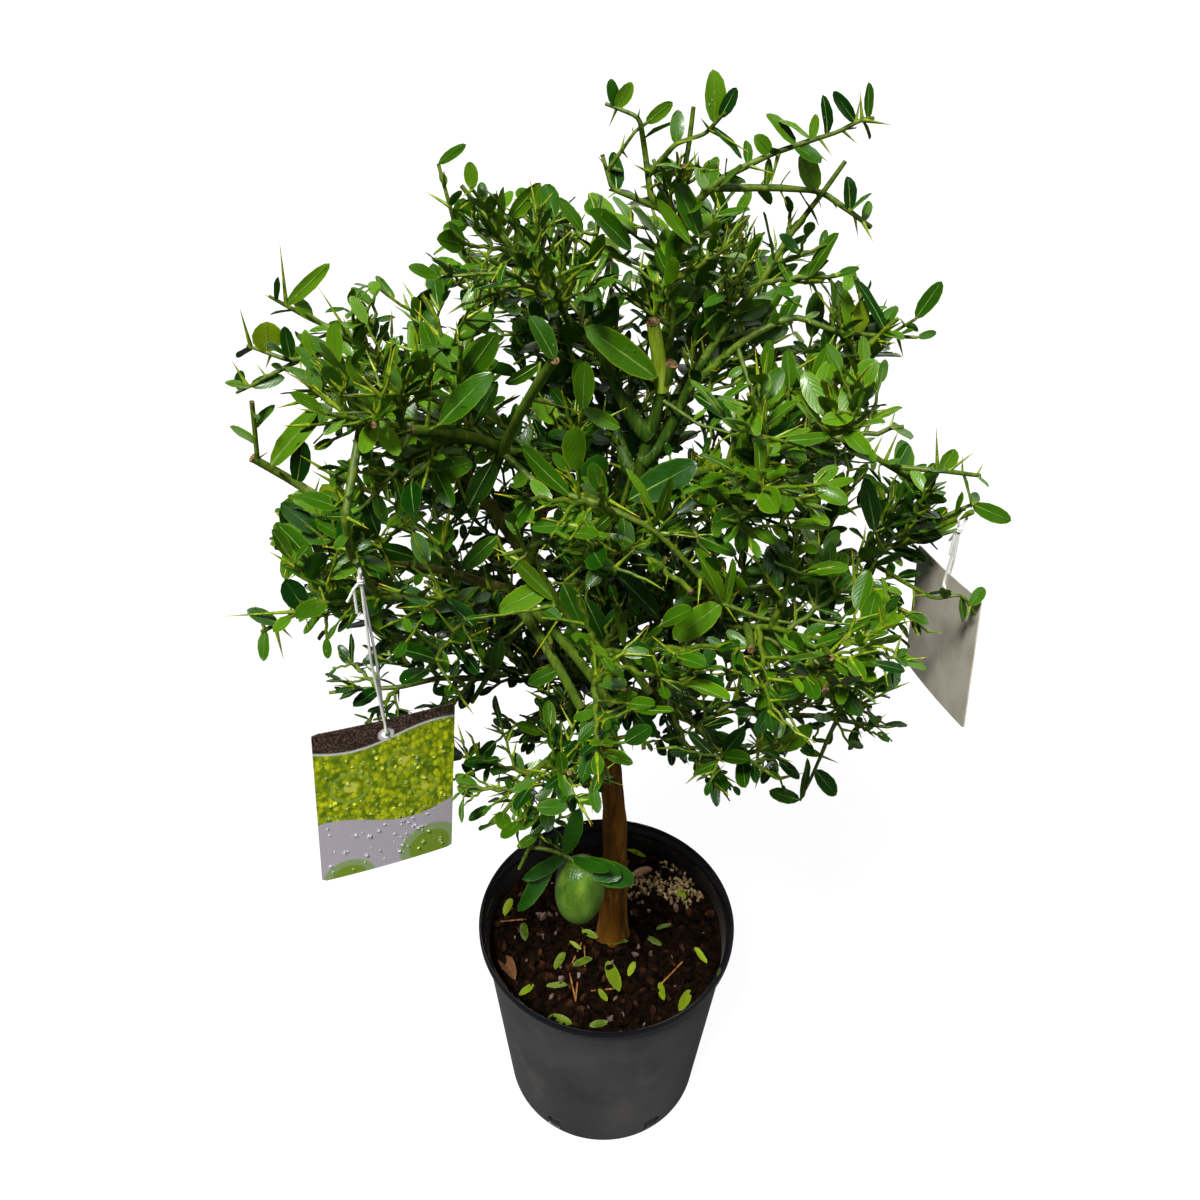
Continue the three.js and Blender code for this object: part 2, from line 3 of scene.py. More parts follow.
import bpy
import numpy as np
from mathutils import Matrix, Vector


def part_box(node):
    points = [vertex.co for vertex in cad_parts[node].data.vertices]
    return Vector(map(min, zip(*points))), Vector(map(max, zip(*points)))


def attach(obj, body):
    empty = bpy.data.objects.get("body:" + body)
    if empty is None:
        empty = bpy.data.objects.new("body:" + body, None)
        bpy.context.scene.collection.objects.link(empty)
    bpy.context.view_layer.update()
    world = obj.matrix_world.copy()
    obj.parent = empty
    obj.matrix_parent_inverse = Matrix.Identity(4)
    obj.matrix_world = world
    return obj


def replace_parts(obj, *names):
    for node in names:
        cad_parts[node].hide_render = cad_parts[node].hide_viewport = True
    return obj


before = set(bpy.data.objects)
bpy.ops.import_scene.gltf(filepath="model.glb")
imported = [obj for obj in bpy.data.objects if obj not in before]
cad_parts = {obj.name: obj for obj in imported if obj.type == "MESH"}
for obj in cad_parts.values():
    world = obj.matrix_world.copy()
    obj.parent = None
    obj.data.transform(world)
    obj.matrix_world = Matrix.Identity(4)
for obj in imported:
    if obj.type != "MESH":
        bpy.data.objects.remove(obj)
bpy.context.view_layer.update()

# A young faustrime tree in a nursery pot. Scene units are metres, with +Z up, the origin in
# the middle of the pot's flat underside and -Y as the front. MM turns millimetres to metres.
MM = 0.001

# Pot
# A thin nursery pot of black polypropylene, injection moulded in one piece: a tapering wall, a
# polished lip that takes the next pot of a stack, and six ragged drain slots round the foot.
# The slots are shallow dents whose openings are painted shade, near black, and the inside of
# the pot carries painted shade too.
POT_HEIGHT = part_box("pot")[1].z
WALL_TOP_RADIUS = 96 * MM
BASE_RADIUS = 80.4 * MM
POT_WALL = 1.6 * MM
POT_FLOOR = 3 * MM
LIP_HEIGHT = 8 * MM
UNDER_LIP = POT_HEIGHT - LIP_HEIGHT
NOTCH_COUNT = 6
NOTCH_FIRST_TURN = math.radians(61)
NOTCH_WIDTH = 11 * MM
NOTCH_HEIGHT = 14 * MM
NOTCH_FOOT = 1.6 * MM
NOTCH_DEPTH = 1.3 * MM
POT_COLUMNS = 432
BLACK_PLASTIC = (0.028, 0.028, 0.03, 1)
WORN_PLASTIC = (0.072, 0.069, 0.067, 1)
DUSTY_PLASTIC = (0.13, 0.12, 0.11, 1)
LIP_PLASTIC = (0.004, 0.0045, 0.007, 1)


def add_node(tree, kind, sockets, **settings):
    """A shader node with its settings. A socket takes a number, a colour or another node's output."""
    node = tree.nodes.new("ShaderNode" + kind)
    for setting, value in settings.items():
        setattr(node, setting, value)
    for socket, value in sockets.items():
        if isinstance(value, bpy.types.NodeSocket):
            tree.links.new(value, node.inputs[socket])
        else:
            node.inputs[socket].default_value = value
    return node


def noise_group(name, inputs, output, kind):
    """A group with noise on object coordinates, stretched, and one output that is linked later."""
    group = bpy.data.node_groups.new(name, "ShaderNodeTree")
    for given in inputs:
        group.interface.new_socket(given, in_out="INPUT", socket_type="NodeSocketFloat")
    group.interface.new_socket("Stretch", in_out="INPUT", socket_type="NodeSocketVector")
    group.interface.new_socket(output, in_out="OUTPUT", socket_type=kind)
    into = group.nodes.new("NodeGroupInput").outputs
    out = group.nodes.new("NodeGroupOutput").inputs[output]
    place = add_node(group, "TexCoord", {}).outputs["Object"]
    stretched = add_node(group, "VectorMath", {0: place, 1: into["Stretch"]}, operation="MULTIPLY")
    noise = add_node(group, "TexNoise", {
        "Vector": stretched.outputs[0], "Scale": into["Scale"], "Detail": into["Detail"]})
    return group, into, noise.outputs["Fac"], out


def mottle_group():
    """Soft patches: the noise, cut to 0 below Low and 1 above High."""
    inputs = ("Scale", "Detail", "Low", "High")
    group, into, noise, out = noise_group("mottle", inputs, "Mask", "NodeSocketFloat")
    group.links.new(ramp(group, noise, into["Low"], into["High"]), out)
    return group


def relief_group():
    """Fine relief: a bump from the noise. Height is in metres."""
    inputs = ("Scale", "Detail", "Height")
    group, into, noise, out = noise_group("relief", inputs, "Normal", "NodeSocketVector")
    bump = add_node(group, "Bump", {"Height": noise, "Distance": into["Height"]})
    group.links.new(bump.outputs["Normal"], out)
    return group


def ramp(tree, value, low, high, start=0.0, end=1.0):
    """A number that goes from start to end as the value goes from low to high."""
    sockets = {"Value": value, "From Min": low, "From Max": high, "To Min": start, "To Max": end}
    return add_node(tree, "MapRange", sockets).outputs["Result"]


MOTTLE = mottle_group()
RELIEF = relief_group()


def mottle(tree, scale, low, high, stretch=(1, 1, 1), detail=3):
    """The mask of one mottle group placed in a material."""
    sockets = {"Scale": scale, "Detail": detail, "Low": low, "High": high, "Stretch": stretch}
    return add_node(tree, "Group", sockets, node_tree=MOTTLE).outputs["Mask"]


def relief(tree, scale, height, stretch=(1, 1, 1), detail=3):
    """The normal of one relief group placed in a material."""
    sockets = {"Scale": scale, "Detail": detail, "Height": height, "Stretch": stretch}
    return add_node(tree, "Group", sockets, node_tree=RELIEF).outputs["Normal"]


def blend(tree, mask, first, second):
    """A colour that goes from the first to the second as the mask goes from 0 to 1."""
    mix = tree.nodes.new("ShaderNodeMix")
    mix.data_type = "RGBA"
    for socket, value in ((mix.inputs[0], mask), (mix.inputs[6], first), (mix.inputs[7], second)):
        if isinstance(value, bpy.types.NodeSocket):
            tree.links.new(value, socket)
        else:
            socket.default_value = value
    return mix.outputs[2]


def span(tree, mask, low, high):
    """A number that goes from low to high as the mask goes from 0 to 1."""
    return ramp(tree, mask, 0.0, 1.0, low, high)


def reckon(tree, operation, *values):
    """The result of one sum on numbers or other nodes' outputs."""
    return add_node(tree, "Math", dict(enumerate(values)), operation=operation).outputs[0]


def new_material(name, roughness, specular=0.5, coat=0.0, coat_roughness=0.1):
    """A material and its Principled surface, with the values that are the same all over it."""
    material = bpy.data.materials.new(name)
    material.use_nodes = True
    surface = material.node_tree.nodes["Principled BSDF"]
    surface.inputs["Roughness"].default_value = roughness
    surface.inputs["Specular IOR Level"].default_value = specular
    surface.inputs["Coat Weight"].default_value = coat
    surface.inputs["Coat Roughness"].default_value = coat_roughness
    return material, material.node_tree, surface


def finish_with(tree, surface, **outputs):
    """Feeds the surface's sockets: colour, roughness and normal."""
    names = {"colour": "Base Color", "roughness": "Roughness", "normal": "Normal", "coat": "Coat Weight"}
    for name, output in outputs.items():
        tree.links.new(output, surface.inputs[names[name]])


def make_piece(name, places, faces, material, slot, uv=None, shade=None, sharp=None):
    """A piece from rows of places in metres and a list of face arrays, one row of corners a face.

    uv has a row and shade a number for each place. Edges sharper than sharp degrees stay sharp.
    """
    mesh = bpy.data.meshes.new(name)
    corners = np.concatenate([part.ravel() for part in faces]).astype(np.int32)
    sizes = np.concatenate([np.full(len(part), part.shape[1]) for part in faces])
    mesh.vertices.add(len(places))
    mesh.vertices.foreach_set("co", np.asarray(places, np.float32).ravel())
    mesh.loops.add(len(corners))
    mesh.loops.foreach_set("vertex_index", corners)
    mesh.polygons.add(len(sizes))
    mesh.polygons.foreach_set("loop_start", (np.cumsum(sizes) - sizes).astype(np.int32))
    mesh.update(calc_edges=True)
    if uv is not None:
        mesh.uv_layers.new(name="UVMap").uv.foreach_set("vector", uv[corners].astype(np.float32).ravel())
    if shade is not None:
        mesh.attributes.new("shade", "FLOAT", "POINT").data.foreach_set("value", shade.astype(np.float32))
    mesh.shade_smooth()
    if sharp is not None:
        mesh.set_sharp_from_angle(angle=math.radians(sharp))
    mesh.materials.append(material)
    piece = bpy.data.objects.new(name, mesh)
    bpy.context.scene.collection.objects.link(piece)
    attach(piece, "root")
    return piece


def ring_faces(rows, columns):
    """Quads between neighbouring rows of a grid whose last column meets its first."""
    row, column = np.meshgrid(np.arange(rows - 1), np.arange(columns), indexing="ij")
    here = row * columns + column
    after = row * columns + (column + 1) % columns
    return np.stack([here, after, after + columns, here + columns], -1).reshape(-1, 4)


def closed_faces(rows, columns, copies=1):
    """The faces of closed tubes whose places follow one another: quads between neighbouring
    rings, then a flat face over each first ring, looking back, and each last one, looking on."""
    start = np.arange(copies)[:, None, None] * (rows * columns)
    parts = (ring_faces(rows, columns), np.arange(columns)[None, ::-1],
             np.arange(columns)[None] + (rows - 1) * columns)
    return [(part + start).reshape(-1, part.shape[-1]) for part in parts]


def ring_piece(name, rings, material, slot, shade=None, sharp=None):
    """A closed piece from rows of rings."""
    faces = closed_faces(*rings.shape[:2])
    return make_piece(name, rings.reshape(-1, 3), faces, material, slot, shade=shade, sharp=sharp)


def lumps(places, size, seed, octaves=3):
    """Smooth hills and hollows from about -1 to 1: sine waves in random directions, summed,
    each octave half as long and half as high as the one before."""
    rng = np.random.default_rng(seed)
    total = np.zeros(places.shape[:-1])
    for octave in range(octaves):
        ways = rng.normal(size=(8, 3))
        ways /= np.linalg.norm(ways, axis=1, keepdims=True)
        waves = np.sin(places @ ways.T * (2 * math.pi * 2 ** octave / size) + rng.uniform(0, 6.28, 8))
        total += waves.sum(-1) / (4 * 2 ** octave)
    return total


def wall_radius(height):
    """The pot's outer radius: straight from the base radius to the wall's top radius."""
    return BASE_RADIUS + (WALL_TOP_RADIUS - BASE_RADIUS) * height / UNDER_LIP


def slot_patch(turns, heights):
    """1 in a drain slot's ragged patch just above the foot, 0 between the slots."""
    step = 2 * math.pi / NOTCH_COUNT
    off = (turns - NOTCH_FIRST_TURN + step / 2) % step - step / 2 + 0 * heights
    around = np.stack([np.cos(turns) * BASE_RADIUS + 0 * heights,
                       np.sin(turns) * BASE_RADIUS + 0 * heights, heights + 0 * turns], -1)
    ragged = lumps(around, 9 * MM, 5)
    wide = np.abs(off) * BASE_RADIUS < NOTCH_WIDTH / 2 + ragged * 1.5 * MM
    high = (heights > NOTCH_FOOT) & (heights < NOTCH_FOOT + NOTCH_HEIGHT + ragged * 1.5 * MM)
    return (wide & high).astype(float)


def pot_surface():
    """A profile turned about +Z, from the underside out, up the wall, over the lip and down inside.

    The wall is let in at the slots. Returns rows of rings of places, and each place's painted shade.
    """
    turns = np.linspace(0, 2 * math.pi, POT_COLUMNS, endpoint=False)
    foot = [(6, 0), (40, 0), (79.4, 0), (80.1, 0.2)]
    low_rows = [0.7, 1.4, 1.8, 3.2, 5, 7, 9, 11, 12.8, 14, 15.2, 16.4, 17.6, 19]
    wall = low_rows + list(np.linspace(23, 186.2, 29))
    lip = [(96.2, 187), (99.2, 187.2), (99.9, 187.8), (100, 189), (99.95, 193.4), (99.6, 194.5),
           (99, 195), (98.5, 194.8), (98.2, 194), (98.1, 191.4), (97.6, 190.2), (94.8, 188), (94.4, 186)]
    profile = foot + [(wall_radius(height * MM) / MM, height) for height in wall] + lip
    profile += [((wall_radius(height * MM) - POT_WALL) / MM, height) for height in (176, 160, 90, 10)]
    profile += [((BASE_RADIUS - 2 * POT_WALL) / MM, POT_FLOOR / MM), (6, POT_FLOOR / MM)]
    profile = np.array(profile) * MM
    radii, heights = profile[:, :1], profile[:, 1:]
    # The slot patch lets the wall in and is also painted shade: near black in the slots.
    dent_and_shade = slot_patch(turns, heights)
    dent_and_shade[len(foot) + len(low_rows):] = 0
    inside_rows = len(foot) + len(wall) + len(lip) - 2
    radii = radii - dent_and_shade * NOTCH_DEPTH
    heights = heights + 0 * turns
    places = np.stack([radii * np.cos(turns), radii * np.sin(turns), heights], -1)
    sway = 1 + lumps(places, 90 * MM, 3, 2) * 0.0012 * (heights / POT_HEIGHT)
    places[..., :2] *= np.minimum(sway[..., None], 1)
    # Painted shade: the inside of the pot is darkened most of the way to black.
    dent_and_shade[inside_rows:] = 0.82
    return places, dent_and_shade


def pot_material():
    """Black plastic: satin and dusty down the wall, polished round the lip, with painted shade inside and in
    the drain slots.
    """
    material, tree, surface = new_material("pot_plastic", 0.35, 0.5)
    surface.inputs["Sheen Weight"].default_value = 0.05
    surface.inputs["Sheen Roughness"].default_value = 0.4
    surface.inputs["Sheen Tint"].default_value = (0.9, 0.86, 0.82, 1)
    place = add_node(tree, "TexCoord", {}).outputs["Object"]
    height = add_node(tree, "SeparateXYZ", {"Vector": place}).outputs["Z"]
    lip = ramp(tree, height, 184 * MM, 185.8 * MM)
    # The shade attribute carries painted shade, for the drain slots and the pot's inside.
    slot = add_node(tree, "Attribute", {}, attribute_name="shade").outputs["Fac"]
    rubbed = mottle(tree, 14, 0.35, 0.72, detail=4)
    dusty = mottle(tree, 30, 0.55, 0.8, (1, 1, 0.6), 6)
    specks = mottle(tree, 420, 0.7, 0.76, detail=1)
    colour = blend(tree, rubbed, BLACK_PLASTIC, WORN_PLASTIC)
    colour = blend(tree, span(tree, dusty, 0, 0.6), colour, DUSTY_PLASTIC)
    colour = blend(tree, span(tree, specks, 0, 0.5), colour, DUSTY_PLASTIC)
    colour = blend(tree, lip, colour, LIP_PLASTIC)
    # Painted shade: black where the shade attribute is set, in the drain slots and inside the pot.
    colour = blend(tree, slot, colour, (0.001, 0.001, 0.001, 1))
    satin = span(tree, rubbed, 0.28, 0.44)
    smooth = span(tree, lip, satin, 0.14)
    finish_with(tree, surface, colour=colour, roughness=smooth, normal=relief(tree, 120, 0.08 * MM))
    return material


rings, dent_and_shade = pot_surface()
pot = ring_piece("nursery_pot", rings, pot_material(), "pot_plastic", dent_and_shade.ravel(), 50)
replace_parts(pot, "pot")

# Potting mix
# Composted bark with a little grit, wetted and settled below the lip: lumpy fines between
# chunks of bark, with small stones and a dried pale crust behind the stem.
SOIL_HEIGHT = 172 * MM
SOIL_FLAT_RADIUS = 24 * MM
SOIL_ROUGHNESS = 1.6 * MM
SOIL_SAG = 3 * MM
SOIL_ROWS = 90
SOIL_COLUMNS = 300
SOIL_FOOT = 150 * MM
CRUST_MIDDLE = (40 * MM, 50 * MM)
CRUST_SPREAD = (22 * MM, 15 * MM)


def soil_drop(x, y):
    """How far the mix lies below its full height: the source's waves, growing away from the trunk."""
    away = np.maximum(np.hypot(x, y) - SOIL_FLAT_RADIUS, 0) / BASE_RADIUS
    waves = np.sin(x / MM * 0.11 + 1) * np.cos(y / MM * 0.09) + np.sin((x + y) / MM * 0.06)
    return np.maximum(SOIL_SAG * away - SOIL_ROUGHNESS * waves * np.minimum(away * 4, 1), 0)


def soil_top(x, y):
    """The mix's height, with clods of a few millimetres and crumbs of one or two."""
    place = np.stack([x, y, x * 0], -1)
    clods = lumps(place, 15 * MM, 11, 2) * 1.3 * MM
    crumbs = np.abs(lumps(place, 5 * MM, 12, 2)) * 1.1 * MM
    return SOIL_HEIGHT - soil_drop(x, y) + clods + crumbs - 0.8 * MM


def soil_surface():
    """Rings from the trunk out to the pot's wall, then one ring down inside it."""
    turns = np.linspace(0, 2 * math.pi, SOIL_COLUMNS, endpoint=False)
    shares = np.linspace(1, 0.02, SOIL_ROWS)[:, None]
    edge = wall_radius(SOIL_HEIGHT - 5 * MM) - POT_WALL - 0.2 * MM
    x = edge * shares * np.cos(turns)
    y = edge * shares * np.sin(turns)
    top = np.stack([x, y, soil_top(x, y)], -1)
    foot = top[:1] * (0.97, 0.97, 0)
    foot[..., 2] = SOIL_FOOT
    return np.concatenate([foot, top])


def broken_bits(middles, sizes, turns, seed):
    """Rough bits: six-sided blocks of (length, width, height), their corners pushed about at
    random, tilted a little and turned about +Z. All bits at once, as places and face arrays."""
    rng = np.random.default_rng(seed)
    count = len(middles)
    round_ = np.arange(6) * math.pi / 3
    ring = np.stack([np.cos(round_), np.sin(round_)], -1) * 0.5
    corners = np.zeros((count, 2, 6, 3))
    corners[..., :2] = ring * rng.uniform(0.65, 1.15, (count, 2, 6, 1))
    corners[:, 0, :, 2] = -0.5
    corners[:, 1, :, 2] = 0.5
    corners[..., 2] += rng.uniform(-0.18, 0.18, (count, 2, 6))
    corners[:, 1, :, :2] *= 0.8
    corners *= sizes[:, None, None]
    tilt = rng.normal(0, 0.3, (count, 2))
    corners[..., 2] += corners[..., 0] * tilt[:, :1, None] + corners[..., 1] * tilt[:, 1:, None]
    cos, sin = np.cos(turns)[:, None, None], np.sin(turns)[:, None, None]
    x = corners[..., 0] * cos - corners[..., 1] * sin
    y = corners[..., 0] * sin + corners[..., 1] * cos
    places = np.stack([x, y, corners[..., 2]], -1) + middles[:, None, None]
    return places.reshape(-1, 3), closed_faces(2, 6, count)


def scattered(count, seed, reach=0.93):
    """Places in a ring round the trunk, even over the area, as x and y."""
    rng = np.random.default_rng(seed)
    away = np.sqrt(rng.uniform(0.02, 1, count)) * reach * wall_radius(SOIL_HEIGHT)
    turn = rng.uniform(0, 2 * math.pi, count)
    return away * np.cos(turn), away * np.sin(turn)


def scatter_bits(name, x, y, length, seed, material, proud=0.25, flat=0.45):
    """Bits lying on the mix: lengths are spread over the given range, and part of each is sunk."""
    rng = np.random.default_rng(seed)
    lengths = rng.uniform(length[0], length[1], len(x)) * MM
    sizes = np.stack([lengths, lengths * rng.uniform(0.45, 0.8, len(x)),
                      lengths * rng.uniform(flat * 0.6, flat, len(x))], -1)
    middles = np.stack([x, y, soil_top(x, y) + sizes[:, 2] * proud], -1)
    places, faces = broken_bits(middles, sizes, rng.uniform(0, 6.28, len(x)), seed + 1)
    return make_piece(name, places, faces, material, "potting_mix", sharp=25)


def two_tone(name, first, second, patches, grain, *skin):
    """A skin of two tones in patches with fine relief. patches, grain and skin hold what mottle,
    relief and new_material take."""
    material, tree, surface = new_material(name, *skin)
    colour = blend(tree, mottle(tree, *patches), first, second)
    finish_with(tree, surface, colour=colour, normal=relief(tree, *grain))
    return material


def rough_material(name, dark, light, scale, roughness=0.85):
    """A dull natural surface."""
    return two_tone(name, dark, light, (scale, 0.35, 0.65, (1, 1, 1), 4), (scale * 2.5, 0.4 * MM),
                    roughness, 0.04)


rings = soil_surface()
DAMP_FINES = rough_material("damp_fines", (0.001, 0.0005, 0.0002, 1), (0.009, 0.0042, 0.0012, 1), 180)
mix = ring_piece("potting_mix_fines", rings, DAMP_FINES, "potting_mix")
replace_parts(mix, "potting_mix")
scatter_bits("bark_chunks_dark", *scattered(900, 21), (4, 12), 22,
             rough_material("wet_bark", (0.0012, 0.0006, 0.0002, 1), (0.011, 0.0044, 0.0015, 1), 140))
scatter_bits("bark_chunks_brown", *scattered(230, 23), (3, 11), 24,
             rough_material("brown_bark", (0.006, 0.0024, 0.001, 1), (0.045, 0.018, 0.008, 1), 150))
scatter_bits("grit_stones", *scattered(70, 25), (2, 8), 26,
             rough_material("pink_grit", (0.06, 0.035, 0.028, 1), (0.24, 0.16, 0.13, 1), 160, 0.7),
             flat=0.75)
crust_rng = np.random.default_rng(27)
clump = crust_rng.integers(0, 26, 620)
clump_x = crust_rng.normal(CRUST_MIDDLE[0], CRUST_SPREAD[0], 26)[clump]
clump_y = crust_rng.normal(CRUST_MIDDLE[1], CRUST_SPREAD[1], 26)[clump]
crust_x = clump_x + crust_rng.normal(0, 4.4 * MM, 620)
crust_y = clump_y + crust_rng.normal(0, 3.6 * MM, 620)
inside_pot = np.hypot(crust_x, crust_y) < wall_radius(SOIL_HEIGHT) * 0.93
scatter_bits("pale_crust", crust_x[inside_pot], crust_y[inside_pot], (1.2, 4.6), 28,
             rough_material("dried_crust", (0.1, 0.06, 0.025, 1), (0.6, 0.44, 0.22, 1), 260),
             proud=0.9, flat=0.9)

# Trunk and leader
# One slim stem, brown and finely cracked below, green and ridged above its fork. It leans a
# little one way and then the other, and the leader was pruned above its last bough.
FORK_HEIGHT = 500 * MM
LEADER_HEIGHT = 645 * MM
ROOT_RADIUS = 11.3 * MM
FORK_RADIUS = 5.6 * MM
LEADER_TIP_RADIUS = 3 * MM
FLARE = 2 * MM
FLARE_HEIGHT = 14 * MM
CENTRE_KNOTS = np.array([
    (5, 2, 169), (4, 1, 300), (-5, 0, 426), (-3, 0, 500), (6, 1, 570), (20, 2, 645), (25, 2, 672),
]) * MM


def centre_at(heights):
    """The stem's middle at each height: cubic spans through the knots, each knot's slope being
    that of its neighbours."""
    heights = np.atleast_1d(np.asarray(heights, float))
    z = CENTRE_KNOTS[:, 2]
    slopes = np.gradient(CENTRE_KNOTS[:, :2], z, axis=0)
    low = np.clip(np.searchsorted(z, heights) - 1, 0, len(z) - 2)
    width = z[low + 1] - z[low]
    t = ((heights - z[low]) / width)[:, None]
    start, end = CENTRE_KNOTS[low, :2], CENTRE_KNOTS[low + 1, :2]
    across = ((2 * t ** 3 - 3 * t ** 2 + 1) * start + (3 * t ** 2 - 2 * t ** 3) * end
              + (t ** 3 - 2 * t ** 2 + t) * slopes[low] * width[:, None]
              + (t ** 3 - t ** 2) * slopes[low + 1] * width[:, None])
    return np.concatenate([across, heights[:, None]], 1)


def centre_radius(heights):
    """The trunk tapers from its root flare to the fork, and the leader from there to its end."""
    up = np.clip((heights - SOIL_HEIGHT) / (FORK_HEIGHT - SOIL_HEIGHT), 0, 1)
    trunk = ROOT_RADIUS + (FORK_RADIUS - ROOT_RADIUS) * up ** 0.8
    trunk = trunk + FLARE * np.exp(-(heights - SOIL_HEIGHT) / FLARE_HEIGHT)
    on = np.clip((heights - FORK_HEIGHT) / (LEADER_HEIGHT - FORK_HEIGHT), 0, 1)
    return np.where(heights > FORK_HEIGHT, FORK_RADIUS + (LEADER_TIP_RADIUS - FORK_RADIUS) * on, trunk)


def unit(ways):
    """The same ways with a length of 1."""
    return ways / np.linalg.norm(ways, axis=-1, keepdims=True)


def tubes(paths, radii, sides):
    """Round limbs along many paths at once. paths is limbs by rings by 3, radii is limbs by rings,
    or limbs by rings by sides where the surface has relief. Each ring is square to its path."""
    along = unit(np.gradient(paths, axis=1))
    mean = unit(paths[:, -1] - paths[:, 0])
    steep = np.abs(mean[:, 2:]) > 0.8
    across = np.where(steep, (1.0, 0.0, 0.0), (0.0, 0.0, 1.0))[:, None]
    across = unit(across - (across * along).sum(-1, keepdims=True) * along)
    over = np.cross(along, across)
    turns = np.arange(sides) * 2 * math.pi / sides
    if radii.ndim == 2:
        radii = np.repeat(radii[..., None], sides, 2)
    round_ = across[:, :, None] * np.cos(turns)[:, None] + over[:, :, None] * np.sin(turns)[:, None]
    places = paths[:, :, None] + round_ * radii[..., None]
    return places.reshape(-1, 3), closed_faces(paths.shape[1], sides, len(paths))


def tube_piece(name, paths, radii, sides, material, slot, sharp=None):
    """A piece of round limbs."""
    return make_piece(name, *tubes(paths, radii, sides), material, slot, sharp=sharp)


def bark_radii(paths, radii, sides, furrow, seed):
    """Radii with bark relief: long furrows and ridges that run with the limb, and low swellings."""
    turns = np.arange(sides) * 2 * math.pi / sides
    length = np.linalg.norm(np.diff(paths, axis=1), axis=-1).cumsum(1)
    length = np.concatenate([length[:, :1] * 0, length], 1)[..., None]
    limb = np.arange(len(paths))[:, None, None] * 1.7
    around = radii[..., None]
    place = np.stack([around * np.cos(turns) + limb, around * np.sin(turns) + 0 * limb,
                      np.broadcast_to(length * 0.16, around.shape[:2] + (sides,))], -1)
    swell = lumps(np.stack([length * 1.0 + limb, length * 0, length * 0], -1), 40 * MM, seed + 1, 2)
    return around * (1 + 0.04 * swell) + furrow * lumps(place, 4.5 * MM, seed, 3)


def bark_material(name, dark, mid, light, streak, roughness=0.8, height=0.5 * MM):
    """Bark: long streaks of three tones that run up the limb, with fine relief along them."""
    material, tree, surface = new_material(name, roughness, 0.22)
    colour = blend(tree, mottle(tree, streak, 0.35, 0.62, (1, 1, 0.14), 5), dark, mid)
    colour = blend(tree, mottle(tree, streak * 2.2, 0.55, 0.72, (1, 1, 0.1), 4), colour, light)
    finish_with(tree, surface, colour=colour, normal=relief(tree, streak * 3, height, (1, 1, 0.15), 4))
    return material


TRUNK_BARK = bark_material("tan_bark", (0.06, 0.02, 0.002, 1), (0.22, 0.085, 0.006, 1),
                           (0.32, 0.15, 0.02, 1), 130, 0.7, 0.25 * MM)
GREEN_BARK = bark_material("green_bark", (0.018, 0.055, 0.003, 1), (0.045, 0.1, 0.006, 1),
                           (0.13, 0.18, 0.025, 1), 260, 0.5, 0.25 * MM)


def stem_piece(name, low, high, rows, sides, furrow, material, slot):
    """A stretch of the stem with its bark, and lobes where the root flare meets the mix."""
    heights = np.linspace(low, high, rows)
    path = centre_at(heights)[None]
    radii = centre_radius(heights)[None]
    rough = bark_radii(path, radii, sides, furrow, 31)
    turns = np.arange(sides) * 2 * math.pi / sides
    lobes = np.exp(-np.maximum(heights - SOIL_HEIGHT, 0) / FLARE_HEIGHT)[:, None] * np.cos(5 * turns + 0.6)
    return tube_piece(name, path, rough * (1 + 0.07 * lobes), sides, material, slot, 60)


trunk = stem_piece("trunk_bark", SOIL_HEIGHT - 3 * MM, FORK_HEIGHT + 1 * MM, 300, 56, 0.2 * MM,
                   TRUNK_BARK, "brown_bark")
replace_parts(trunk, "trunk")
leader = stem_piece("leader_bark", FORK_HEIGHT - 3 * MM, 663 * MM, 130, 32, 0.14 * MM,
                    GREEN_BARK, "green_bark")
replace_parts(leader, "leader")

# Litter
# A few bits of dry straw that have dropped on the mix, thinner than a match and a little tilted
# up. They lie any way round.
STRAW_SIDES = 6
straw_rng = np.random.default_rng(29)
straw_x, straw_y = scattered(9, 30, 0.85)
straw_x[:2], straw_y[:2] = np.array((-22, -25)) * MM, np.array((-54, -50)) * MM
straw_turn = straw_rng.uniform(0, math.pi, 9)
straw_turn[:2] = (1.5, 1.8)
half_long = straw_rng.uniform(6, 13, 9)[:, None] * MM
t = np.linspace(-1, 1, 6)
straw_paths = np.stack([straw_x[:, None] + half_long * t * np.cos(straw_turn)[:, None],
                        straw_y[:, None] + half_long * t * np.sin(straw_turn)[:, None],
                        0 * half_long + 0 * t], -1)
straw_paths[..., 2] = soil_top(straw_paths[:, 2:3, 0], straw_paths[:, 2:3, 1]) + (3.6 + 0.8 * t) * MM
DRY_STRAW = rough_material("dry_straw", (0.12, 0.045, 0.012, 1), (0.4, 0.17, 0.05, 1), 300)
tube_piece("straw_bits", straw_paths, np.full(straw_paths.shape[:2], 0.7 * MM), STRAW_SIDES,
           DRY_STRAW, "potting_mix")

